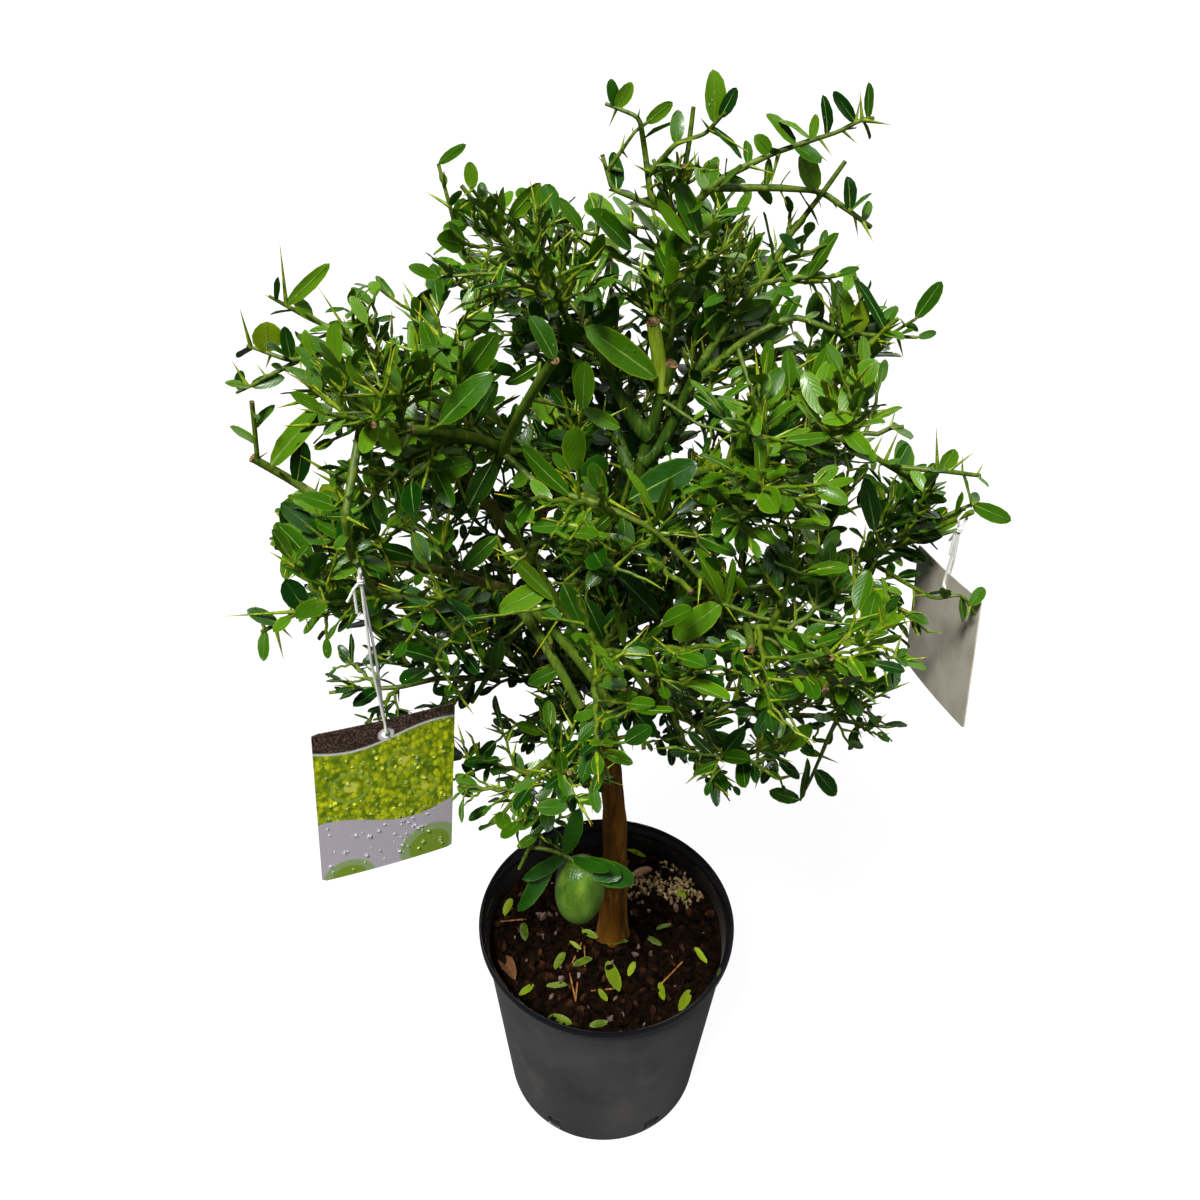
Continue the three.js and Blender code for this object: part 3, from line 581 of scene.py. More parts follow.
# Boughs
# Green limbs that leave the stem one above the other, arch outwards, and each carry one spray.
# They were pruned hard in the nursery, so stubs end in pale, callused cuts.
TIERS = {
    "lower": {
        "from": 416, "step": 5.2, "order": 3, "rise": 0.5, "arch": 12, "half_width": 54,
        "sprays": [
            ("right", 350, 192, 436), ("back_right", 38, 180, 425), ("back", 92, 170, 425),
            ("back_left", 142, 178, 425), ("left", 190, 196, 456), ("front_left", 240, 150, 436),
            ("front_right", 312, 146, 464),
        ],
    },
    "middle": {
        "from": 460, "step": 4.8, "order": 3, "rise": 0.9, "arch": 16, "half_width": 58,
        "sprays": [
            ("right", 357, 210, 580), ("back_right", 42, 208, 560), ("back", 90, 200, 560),
            ("back_left", 138, 208, 560), ("left", 183, 214, 562), ("front_left", 217, 206, 598),
            ("front", 266, 182, 596), ("front_right", 314, 190, 588),
        ],
    },
    "upper": {
        "from": 518, "step": 12, "order": 3, "rise": 0.9, "arch": 14, "half_width": 56,
        "sprays": [
            ("right", 2, 152, 704), ("back_right", 60, 165, 690), ("back_left", 120, 170, 690),
            ("left", 178, 178, 698), ("front_left", 214, 178, 690), ("front", 266, 160, 690),
            ("front_right", 318, 154, 692),
        ],
    },
    "crown": {
        "from": 606, "step": 16, "order": 1, "rise": 0.9, "arch": 8, "half_width": 52,
        "sprays": [("right", 9, 114, 780), ("left", 174, 92, 766)],
    },
}
BOUGH_SHARE = 0.3
BOUGH_FOOT_RADIUS = 3.7 * MM
BOUGH_TIP_RADIUS = 2.3 * MM
BOUGH_RINGS = 26
BOUGH_SIDES = 12
STEM_TIP_LEAF = 35.2 * MM
STEM_NODE_SPACING = 23 * MM
STEM_ZIGZAG = 2.4 * MM
TWIG_LIFT = 0.22
UP = np.array((0.0, 0.0, 1.0))


def plan_spray(name, start, foot, tip, rise, half_width, lift):
    """One bough and its spray: where it leaves the stem, where the spray starts, and its tip.
    The spray's own stem zigzags from node to node and stops short of the tip."""
    way = tip - foot
    length = np.linalg.norm(way) - STEM_TIP_LEAF
    along = unit(way)
    across = unit(UP - along * along[2])
    over = np.cross(along, across)
    nodes = max(round(length / STEM_NODE_SPACING), 3)
    shares = np.arange(nodes + 1) / nodes
    swing = np.where(np.arange(nodes + 1) % 2 == 0, 1, -1) * STEM_ZIGZAG
    swing[[0, -1]] = 0
    stem = foot + along * (length * shares)[:, None] + over * swing[:, None]
    return {"name": name, "start": start, "foot": foot, "tip": tip, "rise": rise, "stem": stem,
            "half_width": half_width, "lift": lift, "along": along, "across": across, "over": over}


def plan_sprays():
    """Every bough and spray by the source's rule: heights up the stem in a skipping order, and
    turn, reach and height of each tip."""
    plans = []
    for tier_name, tier in TIERS.items():
        for place, (side, turn, reach, height) in enumerate(tier["sprays"]):
            rank = (place * tier["order"]) % len(tier["sprays"])
            start = centre_at((tier["from"] + rank * tier["step"]) * MM)[0]
            angle = math.radians(turn)
            tip = np.array((reach * math.cos(angle), reach * math.sin(angle), height)) * MM
            foot = start + (tip - start) * BOUGH_SHARE + UP * tier["arch"] * MM
            plans.append(plan_spray(f"{tier_name}_{side}", start, foot, tip, tier["rise"],
                                    tier["half_width"] * MM, TWIG_LIFT))
    plans.append(plan_spray("crown_top", None, centre_at(LEADER_HEIGHT)[0],
                            np.array((30, 16, 806)) * MM, 0, 52 * MM, 0))
    plans.append(plan_spray("fruiting", centre_at(452 * MM)[0], np.array((-14, -42, 446)) * MM,
                            np.array((-66, -76, 326)) * MM, 0.9, 34 * MM, 0))
    return plans


def bough_path(plan):
    """A cubic Bezier that leaves the stem outwards and ends in line with the spray's stem."""
    heading = unit(plan["stem"][1] - plan["stem"][0])
    end = plan["foot"]
    length = np.linalg.norm(end - plan["start"])
    outward = end - plan["start"]
    outward[2] = 0
    outward = unit(outward)
    outward[2] = plan["rise"]
    outward = unit(outward)
    knots = (plan["start"], plan["start"] + outward * length * 0.4, end - heading * length * 0.35,
             end + heading * 1.5 * MM)
    t = np.linspace(0, 1, BOUGH_RINGS)[:, None]
    weights = ((1 - t) ** 3, 3 * t * (1 - t) ** 2, 3 * t ** 2 * (1 - t), t ** 3)
    return sum(weight * knot for weight, knot in zip(weights, knots))


# Stubs left by pruning, as (foot, end, foot radius, end radius). The first two are the leader's
# own cut and the bright shoot beside it, and the next three hang before the stem.
STUBS = [
    ((22, 2, 655), (24.5, 1, 666), 4.1, 4.2),
    ((19, -2, 652), (14, -4, 691), 4.0, 3.6),
    ((-36, -66, 556), (-20, -72, 487), 3.4, 2.7),
    ((-33, -62, 548), (-2, -68, 486), 3.2, 2.6),
    ((-22, -56, 500), (20, -60, 488), 2.9, 2.6),
    ((-62, -52, 606), (-32, -88, 709), 2.8, 2.3),
    ((-46, -66, 642), (-98, -88, 673), 2.7, 2.3),
    ((60, -96, 540), (66, -112, 566), 2.4, 2.0),
    ((30, 88, 560), (36, 104, 590), 2.6, 2.2),
    ((-50, 84, 640), (-60, 96, 668), 2.4, 2.0),
]
# Older limbs in the open middle of the crown, as (points along it, foot and end radius).
OLD_LIMBS = [
    ([(-44, -30, 538), (-55, -30, 568), (-70, -30, 594), (-84, -30, 617)], (4.4, 3.0)),
    ([(-59, -30, 544), (-95, -34, 553), (-129, -40, 566)], (2.8, 1.8)),
]


def eased_path(points, rings_each):
    """A smooth path through given points: straight spans, then rounded by averaging."""
    points = np.asarray(points, float)
    gone = np.concatenate([[0], np.linalg.norm(np.diff(points, axis=0), axis=1).cumsum()])
    even = np.linspace(0, gone[-1], rings_each)
    path = np.stack([np.interp(even, gone, points[:, side]) for side in range(3)], 1)
    for _ in range(max(rings_each // 18, 2)):
        path[1:-1] = (path[:-2] + 2 * path[1:-1] + path[2:]) / 4
    return path


def nearest_of(points, to):
    """The one of the points that lies nearest."""
    return points[np.argmin(np.linalg.norm(points - to, axis=1))]


def tapered(ends, rings_each):
    """Radii that fall evenly along each limb, from rows of foot and end radius."""
    return ends[:, :1] + (ends[:, 1:] - ends[:, :1]) * np.linspace(0, 1, rings_each)


plans = plan_sprays()
with_bough = [plan for plan in plans if plan["start"] is not None]
paths = np.stack([bough_path(plan) for plan in with_bough])
down_limb = np.linspace(0, 1, BOUGH_RINGS)
bough_lengths = np.array([np.linalg.norm(plan["foot"] - plan["start"]) for plan in with_bough])
collar = 1.6 * MM * np.exp(-np.maximum(down_limb * bough_lengths[:, None] - 5 * MM, 0) / (6 * MM))
radii = BOUGH_FOOT_RADIUS + (BOUGH_TIP_RADIUS - BOUGH_FOOT_RADIUS) * down_limb + collar
boughs = tube_piece("bough_bark", paths, bark_radii(paths, radii, BOUGH_SIDES, 0.16 * MM, 41),
                    BOUGH_SIDES, GREEN_BARK, "green_bark", 60)
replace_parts(boughs, *[f"bough_{plan['name']}" for plan in with_bough])

stem_points = [plan["stem"][:-1] * (1 - share) + plan["stem"][1:] * share
               for plan in plans for share in (0, 0.25, 0.5, 0.75, 1)]
limb_points = np.concatenate([bough_path(plan) for plan in with_bough] + stem_points
                             + [centre_at(np.linspace(LEADER_HEIGHT, 660 * MM, 4))])
old_paths = []
for points, _ in OLD_LIMBS:
    points = np.array(points, float) * MM
    points[0] = nearest_of(limb_points, points[0])
    old_paths.append(eased_path(points, 24))
old_paths = np.stack(old_paths)
old_radii = tapered(np.array([radii for _, radii in OLD_LIMBS]) * MM, 24)
OLD_BARK = bark_material("old_green_bark", (0.08, 0.09, 0.01, 1), (0.2, 0.19, 0.03, 1),
                         (0.34, 0.28, 0.09, 1), 230, 0.6, 0.2 * MM)
tube_piece("old_limbs", old_paths, bark_radii(old_paths, old_radii, 16, 0.2 * MM, 45), 16,
           OLD_BARK, "green_bark", 60)
limb_points = np.concatenate([limb_points, old_paths.reshape(-1, 3)])
stub_ends = np.array([(foot, end) for foot, end, _, _ in STUBS]) * MM
nearest = np.linalg.norm(stub_ends[:, :1] - limb_points, axis=-1).argmin(1)
stub_ends[:, 0] = limb_points[nearest]
stub_radii = np.array([(foot, end) for _, _, foot, end in STUBS]) * MM
share = np.linspace(0, 1, 14)[:, None]
stub_paths = stub_ends[:, None, 0] * (1 - share) + stub_ends[:, None, 1] * share
stub_paths[..., 2] += 0.05 * np.sin(share[:, 0] * math.pi) * np.linalg.norm(
    stub_ends[:, 1] - stub_ends[:, 0], axis=1)[:, None]
stub_rings = tapered(stub_radii, 14)
BRIGHT_STUB = np.arange(len(STUBS)) == 1
stub_bark = bark_radii(stub_paths, stub_rings, 12, 0.12 * MM, 43)
YOUNG_WOOD = bark_material("young_wood", (0.05, 0.11, 0.006, 1), (0.11, 0.19, 0.012, 1),
                           (0.24, 0.3, 0.04, 1), 260, 0.5, 0.2 * MM)
tube_piece("pruned_stubs", stub_paths[~BRIGHT_STUB], stub_bark[~BRIGHT_STUB], 12,
           YOUNG_WOOD, "green_bark", 60)
BRIGHT_WOOD = bark_material("bright_wood", (0.22, 0.36, 0.015, 1), (0.38, 0.52, 0.03, 1),
                            (0.55, 0.64, 0.1, 1), 260, 0.45, 0.15 * MM)
tube_piece("bright_stub", stub_paths[BRIGHT_STUB], stub_bark[BRIGHT_STUB], 12,
           BRIGHT_WOOD, "green_bark", 60)

# Growth
# Each spray's stem carries side twigs by the golden angle, each side twig finer shoots by turns
# left and right, and every node a leaf and often a straight thorn, as citrus grows.
GOLDEN_ANGLE = math.radians(137.5)
TWIG_FOOT_ANGLE = 62
TWIG_TIP_ANGLE = 52
SPACE_MARGIN = -0.1
TWIG_REACH = 1.0
LEAF_REACH = 1.08
INNER_REACH = 1.5
INNER_DEPTH = 0.78
CROWN_MIDDLE = np.array((0, 0, 590)) * MM
CROWN_RADII = np.array((215, 200, 215)) * MM
OUTER_THINNING = 0.4
LOW_THINNING = 0.08
TOP_THINNING = 0.14
# The crown's edge as it is faced: turns in degrees from the right over the top, and reaches.
EDGE_TURNS, EDGE_REACHES = np.transpose((
    (0, 186), (20, 164), (30, 184), (80, 196), (100, 172), (120, 190), (130, 174), (155, 202),
    (210, 198), (255, 214), (290, 190), (330, 220), (350, 186), (360, 186)))
TIP_SLACK = 2 * MM
ROOM_STEP = 3 * MM
FRUIT_MIDDLE = np.array((-20, -75, 326)) * MM
FRUIT_RADII = np.array((19, 19, 29)) * MM
TAGS = {
    "left": {"width": 79, "height": 115, "place": (-128.5, -107.8, 449.3), "yaw": 26, "roll": 5,
             "hangs_from": (-125, -110, 607.1), "carrier": "middle_front_left"},
    "right": {"width": 83, "height": 80, "place": (190, -30, 512), "yaw": -81, "roll": -13,
              "hangs_from": (188, -25, 588.1), "carrier": "middle_right"},
}
feet = np.stack([plan["foot"] for plan in plans])
tips = np.stack([plan["tip"] for plan in plans])
half_widths = np.array([plan["half_width"] for plan in plans])


def chance(spray):
    """The source's repeatable number from 0 to 1 for the turn of a spray's first twig."""
    mixed = math.sin(spray * 12.9898) * 43758.5453
    return mixed - math.floor(mixed)


def axis_distances(points):
    """How far each point lies from each spray's axis, counted in half widths."""
    way = tips - feet
    share = np.clip(((points[:, None] - feet) * way).sum(-1) / (way ** 2).sum(-1), 0, 1)
    return np.linalg.norm(points[:, None] - feet - share[..., None] * way, axis=-1) / half_widths


def tag_axes(tag):
    """The card's width, face and height directions, turned by its yaw and then its roll."""
    yaw, roll = math.radians(tag["yaw"]), math.radians(tag["roll"])
    width = np.array((math.cos(roll) * math.cos(yaw), math.cos(roll) * math.sin(yaw), -math.sin(roll)))
    face = np.array((-math.sin(yaw), math.cos(yaw), 0.0))
    return width, face, np.cross(width, face)


def clear_of_things(points):
    """True where a point is off the cards, the fruit and the trunk."""
    clear = np.ones(len(points), bool)
    for tag in TAGS.values():
        width, face, height = tag_axes(tag)
        off = points - np.array(tag["place"]) * MM
        clear &= ((np.abs(off @ width) > (tag["width"] / 2 + 2) * MM)
                  | (np.abs(off @ face) > 3 * MM)
                  | (np.abs(off @ height) > (tag["height"] / 2 + 2) * MM))
    clear &= np.linalg.norm((points - FRUIT_MIDDLE) / (FRUIT_RADII + 1.5 * MM), axis=1) > 1
    middle = centre_at(np.clip(points[:, 2], SOIL_HEIGHT, LEADER_HEIGHT))
    return clear & (np.linalg.norm(points - middle, axis=1) > centre_radius(middle[:, 2]) + 1 * MM)


def depth_in_crown(points):
    """How deep in the whole crown points lie: 0 in the middle of an egg-shaped space, 1 on it."""
    return np.linalg.norm((points - CROWN_MIDDLE) / CROWN_RADII, axis=-1)


def in_space(spray, points, reach):
    """True where a point is nearer to this spray's axis than to any other's, and within reach.
    Inside the crown the reach is longer, so that neighbours meet. A long shoot has no space."""
    if spray is None:
        return clear_of_things(points)
    far = axis_distances(points)
    reach = np.where(depth_in_crown(points) < INNER_DEPTH, INNER_REACH, reach)
    own = far[:, spray].copy()
    far[:, spray] = np.inf
    along = plans[spray]["along"]
    past = points @ along > tips[spray] @ along + TIP_SLACK
    mine = (own <= reach) & ~past & (far.min(1) > own + SPACE_MARGIN)
    return mine & clear_of_things(points) & ~is_past_edge(points)


def room_ahead(spray, point, heading, most):
    """How far a twig can go on from the point before it leaves the spray's space."""
    steps = np.arange(ROOM_STEP, most + ROOM_STEP, ROOM_STEP)
    inside = in_space(spray, point + heading * steps[:, None], TWIG_REACH)
    return most if inside.all() else steps[np.argmin(inside)] - ROOM_STEP


BLADE_SHARES = np.array((0.35, 0.65, 0.98))[:, None]
TAKEN = np.zeros((60000, 3))
taken_count = 0
LEAF_CLEARANCE = 3.0 * MM
grown = {"stem": [], "side": [], "sprig": [], "leaf": [], "thorn": [], "cut": []}


def take(points):
    """Marks places that later leaves keep off."""
    global taken_count
    TAKEN[taken_count:taken_count + len(points)] = points
    taken_count += len(points)


def is_crowded(points):
    """True where a place lies too near to a blade or limb that is already there."""
    off = points[:, None] - TAKEN[None, :taken_count]
    return bool(((off ** 2).sum(-1).min() if taken_count else 1) < LEAF_CLEARANCE ** 2)


CAMERA_PLACE = np.array((-10, -532, 920)) * MM
SHOWN_WAY = np.array((0.0, 0.791, -0.612))
SHOWN_UP = np.array((0.0, 0.612, 0.791))
open_windows = []


def as_shown(points):
    """Where points stand when the plant is faced from its front: right, up and distance."""
    off = points - CAMERA_PLACE
    far = off @ SHOWN_WAY
    return off[..., 0] / far, off @ SHOWN_UP / far, far


def is_past_edge(points):
    """True where a point stands outside the crown's edge as it is faced."""
    right, up, _ = as_shown(points)
    middle_right, middle_up, far = as_shown(CROWN_MIDDLE)
    right, up = (right - middle_right) * far, (up - middle_up) * far
    turns = np.degrees(np.arctan2(up, right)) % 360
    return np.hypot(right, up) > np.interp(turns, EDGE_TURNS, EDGE_REACHES) * MM


def make_windows(windows):
    """Each window keeps leaves from standing before one limb or thing, and is given as its start,
    end and half width."""
    ends = np.array([(start, end) for start, end, _ in windows])
    right, up, far = as_shown(ends)
    start = np.stack([right[:, 0], up[:, 0]], -1)
    way = np.stack([right[:, 1], up[:, 1]], -1) - start
    halves = np.array([half for _, _, half in windows])
    return start, way, (way ** 2).sum(-1) + 1e-12, far[:, 0], far[:, 1] - far[:, 0], halves


def is_in_window(points):
    """True where a point stands before a limb that the window keeps open."""
    start, way, long, far, further, halves = open_windows
    right, up, distance = as_shown(points)
    off = np.stack([right, up], -1)[:, None] - start
    share = np.clip((off * way).sum(-1) / long, 0, 1)
    depth = far + share * further
    gap = np.linalg.norm(off - share[..., None] * way, axis=-1) * depth
    return bool(((gap < halves) & (distance[:, None] < depth - 2 * MM)).any())


def add_leaf(spray, root, way, rng, scale=1.0, tone=0.0):
    """A leaf at a node. Without room it is turned up or down, then made smaller, then skipped.
    Shoots at the outside of a spray are partly bare, so there more leaves are skipped."""
    outer = axis_distances(root[None])[0, spray] if spray is not None else 0
    height_share = np.clip((root[2] - 430 * MM) / (170 * MM), 0, 1)
    skipped = OUTER_THINNING * np.clip((outer - 0.55) / 0.45, 0, 1) + LOW_THINNING * (1 - height_share)
    skipped += TOP_THINNING * np.clip((root[2] - 660 * MM) / (60 * MM), 0, 1)
    if rng.random() < skipped:
        return False
    length = (11 + 16 * rng.random() ** 2.2) * scale * (0.76 + 0.24 * height_share) * MM
    roll = rng.normal(0, 0.45)
    for turned, size in ((0, 1), (0.5, 0.95), (-0.5, 0.9), (0.2, 0.7)):
        heading = unit(way + UP * turned)
        points = root + heading * (BLADE_SHARES * length * size)
        if in_space(spray, points, LEAF_REACH).all() and not is_crowded(points) and not is_in_window(points):
            outward = np.array((root[0], root[1], 0.0))
            up = UP + outward / max(np.linalg.norm(outward), 1e-6) * 0.15 + rng.normal(0, 0.2, 3)
            up = unit(up - heading * (up @ heading))
            side = np.cross(up, heading)
            up = unit(up * math.cos(roll) + side * math.sin(roll))
            take(points)
            grown["leaf"].append((root, heading, up, length * size, 0, tone + rng.normal(0, 0.13)))
            return True
    return False


def add_thorn(spray, root, way, rng, longest):
    """A straight thorn in a leaf's axil."""
    length = longest * (0.45 + 0.55 * rng.random())
    heading = unit(way + rng.normal(0, 0.18, 3))
    point = root + heading * np.array(((length * 0.8,),))
    if in_space(spray, point, LEAF_REACH).all() and not is_in_window(point):
        grown["thorn"].append((root, heading, length))


def zigzag(foot, heading, length, bend, side, swing, rings_each):
    """A path that bends away evenly and swings from side to side at its inner rings, its nodes."""
    t = np.linspace(0, 1, rings_each)[:, None]
    swings = np.where(np.arange(rings_each) % 2 == 0, -swing, swing)[:, None]
    swings[[0, -1]] = 0
    return foot + heading * length * t + bend * t ** 2 + side * swings


def node_rings(rings_each, length, spacing):
    """The rings that carry growth: every one, or fewer where the rings lie close together."""
    step = max(round(spacing * (rings_each - 1) / length), 1)
    return range(1, rings_each - 1, step)


def add_sprig(spray, foot, heading, length, rng, tone):
    """The finest shoot: leaves by turns on both sides, thorns in their axils, a leaf or a thorn
    at its end."""
    bend = (UP * rng.uniform(-0.05, 0.22) + rng.normal(0, 0.08, 3)) * length
    flat = unit(np.cross(heading, unit(rng.normal(0, 0.35, 3) + UP)))
    path = zigzag(foot, heading, length, bend, flat, 0.45 * MM, 6)
    grown["sprig"].append((path, 1.05 * MM, 0.7 * MM))
    end_way = unit(path[-1] - path[-3])
    for ring in node_rings(6, length, 6.5 * MM):
        side = flat * (1 if ring % 2 else -1)
        angle = math.radians(rng.uniform(42, 66))
        way = unit(end_way * math.cos(angle) + side * math.sin(angle) + UP * rng.uniform(0, 0.3))
        if rng.random() < 0.86:
            add_leaf(spray, path[ring], way, rng, 0.95, tone)
        if rng.random() < 0.42:
            add_thorn(spray, path[ring], end_way * 0.5 + side + UP * 0.35, rng, 17 * MM)
    if rng.random() < 0.28 or not add_leaf(spray, path[-1], end_way, rng, 1.0, tone):
        add_thorn(spray, path[-1], end_way, rng, 14 * MM)


def add_side(spray, foot, heading, sideways, room, rng, tone):
    """A side twig with sprigs by turns left and right. Some were pruned and end in a cut face."""
    length = room * rng.uniform(0.86, 1.06)
    bend = (UP * rng.uniform(-0.02, 0.2) + rng.normal(0, 0.07, 3)) * length
    flat = unit(np.cross(heading, sideways + rng.normal(0, 0.3, 3)))
    path = zigzag(foot, heading, length, bend, flat, 0.9 * MM, 9)
    pruned = rng.random() < 0.16
    thick = 1.75 * MM if length > 30 * MM else 1.4 * MM
    grown["side"].append((path, thick, thick * (0.8 if pruned else 0.6)))
    take(path[2:])
    end_way = unit(path[-1] - path[-3])
    for ring in node_rings(9, length, 8.5 * MM):
        root = path[ring]
        turn = rng.normal(0, 0.7)
        lean = np.cross(end_way, flat)
        side = (flat * math.cos(turn) + lean * math.sin(turn)) * (1 if ring % 2 else -1)
        angle = math.radians(rng.uniform(48, 68))
        way = unit(end_way * math.cos(angle) + side * math.sin(angle) + UP * 0.12)
        wanted = min((0.34 + 0.3 * rng.random()) * length * (1 - ring / 18) + 8 * MM, 34 * MM)
        ahead = min(wanted, room_ahead(spray, root, way, wanted + 12 * MM) - 9 * MM)
        if ahead > 6 * MM and rng.random() < 0.92 and not is_in_window((root + way * ahead)[None]):
            add_sprig(spray, root, way, ahead, rng, tone)
        else:
            add_leaf(spray, root, way, rng, 0.9, tone)
        if rng.random() < 0.6:
            add_leaf(spray, root, unit(end_way * 0.6 - side + UP * 0.2), rng, 1.1, tone)
        if rng.random() < 0.55:
            add_thorn(spray, root, end_way * 0.3 + side * 0.6 + UP * 0.7, rng, 19 * MM)
    if pruned:
        grown["cut"].append((path[-1], end_way, thick * 0.84))
    else:
        add_thorn(spray, path[-1], end_way + lean * 0.4, rng, 17 * MM)
        add_leaf(spray, path[-1], end_way, rng, 1.1, tone + 0.08)


def grow_spray(spray, plan):
    """One spray: its stem, side twigs at its nodes by the source's draws and between them by
    their own, and leaves along it."""
    rng = np.random.default_rng(500 + spray)
    stem, along, across, over = plan["stem"], plan["along"], plan["across"], plan["over"]
    last = len(stem) - 1
    reach_on = stem[-1] + along * (STEM_TIP_LEAF - 17 * MM)
    knots = np.concatenate([stem, reach_on[None]])
    t = np.linspace(0, len(knots) - 1, 34)
    path = np.stack([np.interp(t, np.arange(len(knots)), knots[:, side]) for side in range(3)], 1)
    path[1:-1] = (path[:-2] + 2 * path[1:-1] + path[2:]) / 4
    grown["stem"].append((path, 2.4 * MM, 1.1 * MM))
    take(path[2:])
    height_tone = np.clip((plan["tip"][2] / MM - 440) / 400, 0, 1)
    spray_tone = 0.5 * height_tone - 0.1 + 0.24 * rng.random()
    for place in np.arange(1, 2 * last + 2) / 2:
        node = int(math.ceil(place))
        between = place != node
        share = min(place / last, 1.0)
        node_turn = node * GOLDEN_ANGLE + 2 * math.pi * chance(spray)
        turn = node_turn + (math.pi + rng.normal(0, 0.5) if between else 0)
        angle = math.radians(TWIG_FOOT_ANGLE + (TWIG_TIP_ANGLE - TWIG_FOOT_ANGLE) * share)
        sideways = across * math.cos(turn) + over * math.sin(turn)
        heading = along * math.cos(angle) + sideways * math.sin(angle) + UP * plan["lift"]
        heading = unit(heading)
        step = place / (len(knots) - 1) * (len(path) - 1)
        root = path[int(round(step))]
        spindle = plan["half_width"] * math.sin(math.pi * (0.16 + 0.76 * share)) ** 0.6
        wanted = spindle / math.sin(angle)
        if depth_in_crown(root + heading * wanted * INNER_REACH) < INNER_DEPTH:
            wanted *= INNER_REACH
        room = room_ahead(spray, root, heading, wanted) - 9 * MM
        tone = spray_tone + 0.2 * share
        if room > 9 * MM and not is_in_window(root + heading * np.array(((room * 0.6,),))):
            add_side(spray, root, heading, sideways, room, rng, tone)
        else:
            add_leaf(spray, root, heading, rng, 1.0, tone)
        add_leaf(spray, root, unit(along - sideways), rng, 1.1, tone)
        if rng.random() < 0.75:
            add_thorn(spray, root, unit(sideways + along * 0.25 + UP * 0.3), rng, 24 * MM)
    end_way = unit(path[-1] - path[-2])
    add_leaf(spray, path[-1], end_way, rng, 1.0, spray_tone + 0.3)
    add_thorn(spray, path[-1], end_way + across * 0.4, rng, 15 * MM)
    if plan["start"] is None:
        return
    bough = bough_path(plan)
    for where in (0.34, 0.46, 0.58, 0.7, 0.82, 0.92):
        root = bough[int(where * (BOUGH_RINGS - 1))]
        turn = rng.uniform(0, 2 * math.pi)
        sideways = across * math.cos(turn) + over * math.sin(turn)
        heading = unit(along * 0.5 + sideways + UP * plan["lift"])
        room = room_ahead(spray, root, heading, 50 * MM) - 9 * MM
        if room > 9 * MM and not is_in_window(root + heading * np.array(((room * 0.6,),))):
            add_side(spray, root, heading, sideways, room, rng, spray_tone - 0.15)


# Long shoots
# Shoots that stand out of the crown, most of them at its top and left. They are the same green
# wood as the side twigs, with fewer leaves, and some were clipped off.
# A spot is read off the photo: pixels from its left and its top, and depth in millimetres.
SHOOTS = [  # spots along it, foot and end radius in millimetres, and whether it was clipped
    ([(660, 235, 10), (652, 200, 7), (645, 150, 13), (640, 118, 7), (606, 103, 13)], (2.0, 0.9), False),
    ([(618, 245, 10), (612, 190, 7), (603, 155, 13)], (1.5, 1.0), True),
    ([(611, 172, 12), (635, 132, 9), (655, 118, 15)], (1.1, 0.7), False),
    ([(655, 175, 8), (675, 143, 5), (705, 133, 11), (726, 112, 5)], (1.6, 0.8), False),
    ([(712, 215, 10), (722, 178, 7), (770, 155, 13), (810, 141, 7), (842, 130, 13), (860, 120, 7),
      (872, 119, 13)], (2.0, 0.9), False),
    ([(716, 192, 14), (780, 187, 11), (820, 190, 17), (850, 212, 11), (871, 226, 17)], (2.0, 1.2), True),
    ([(497, 365, 12), (480, 290, 9), (462, 250, 15), (450, 205, 9), (438, 163, 15)], (2.2, 0.9), False),
    ([(555, 255, 16), (515, 225, 13), (482, 202, 19), (470, 186, 13)], (1.8, 0.9), False),
    ([(700, 395, 4), (745, 340, 1), (795, 313, 7), (830, 330, 1), (870, 335, 7),
      (918, 337, 1)], (2.6, 0.9), False),
    ([(890, 334, 4), (915, 318, 1)], (1.0, 0.8), True),
    ([(745, 435, 0), (800, 425, -3), (845, 430, 3), (870, 455, -3), (928, 490, 3)], (2.4, 1.3), False),
    ([(905, 465, -8), (945, 471, -11), (980, 476, -5)], (1.7, 1.2), True),
    ([(915, 545, -10), (940, 518, -13), (978, 502, -7)], (1.6, 0.9), False),
    ([(385, 355, 5), (345, 335, 2), (310, 318, 8), (270, 297, 2)], (2.2, 0.9), False),
    ([(345, 378, -4), (290, 361, -7), (246, 345, -1)], (1.9, 0.9), False),
    ([(310, 380, -8), (250, 386, -11), (237, 392, -5)], (1.5, 0.8), False),
    ([(375, 560, -10), (340, 512, -13), (290, 480, -7), (252, 458, -13)], (3.0, 2.4), True),
    ([(264, 456, -10), (252, 402, -13)], (1.5, 1.3), True),
    ([(336, 505, -112), (345, 520, -115), (352, 556, -109)], (2.2, 2.0), True),
    ([(345, 600, -100), (300, 610, -103), (263, 631, -97)], (1.7, 1.2), True),
    ([(515, 487, -60), (545, 492, -66), (578, 496, -72), (615, 512, -76), (655, 529, -80),
      (690, 565, -80), (723, 603, -76)], (2.0, 1.3), False),
    ([(723, 603, -76), (760, 618, -80), (800, 625, -84)], (1.3, 0.8), False),
    ([(538, 600, -34), (505, 650, -36), (472, 702, -40)], (2.4, 1.5), False),
    ([(536, 566, -34), (544, 510, -38)], (2.8, 2.6), True),
    ([(662, 412, -4), (700, 425, -14), (737, 435, -20)], (1.2, 0.8), False),
    ([(735, 351, -10), (752, 395, -16), (772, 435, -20)], (1.4, 0.9), False),
    ([(838, 700, -44), (828, 740, -46), (812, 775, -50), (800, 800, -50)], (1.6, 0.8), False),
    ([(905, 640, -60), (935, 600, -64), (962, 593, -66), (975, 615, -66)], (1.5, 0.8), False),
]
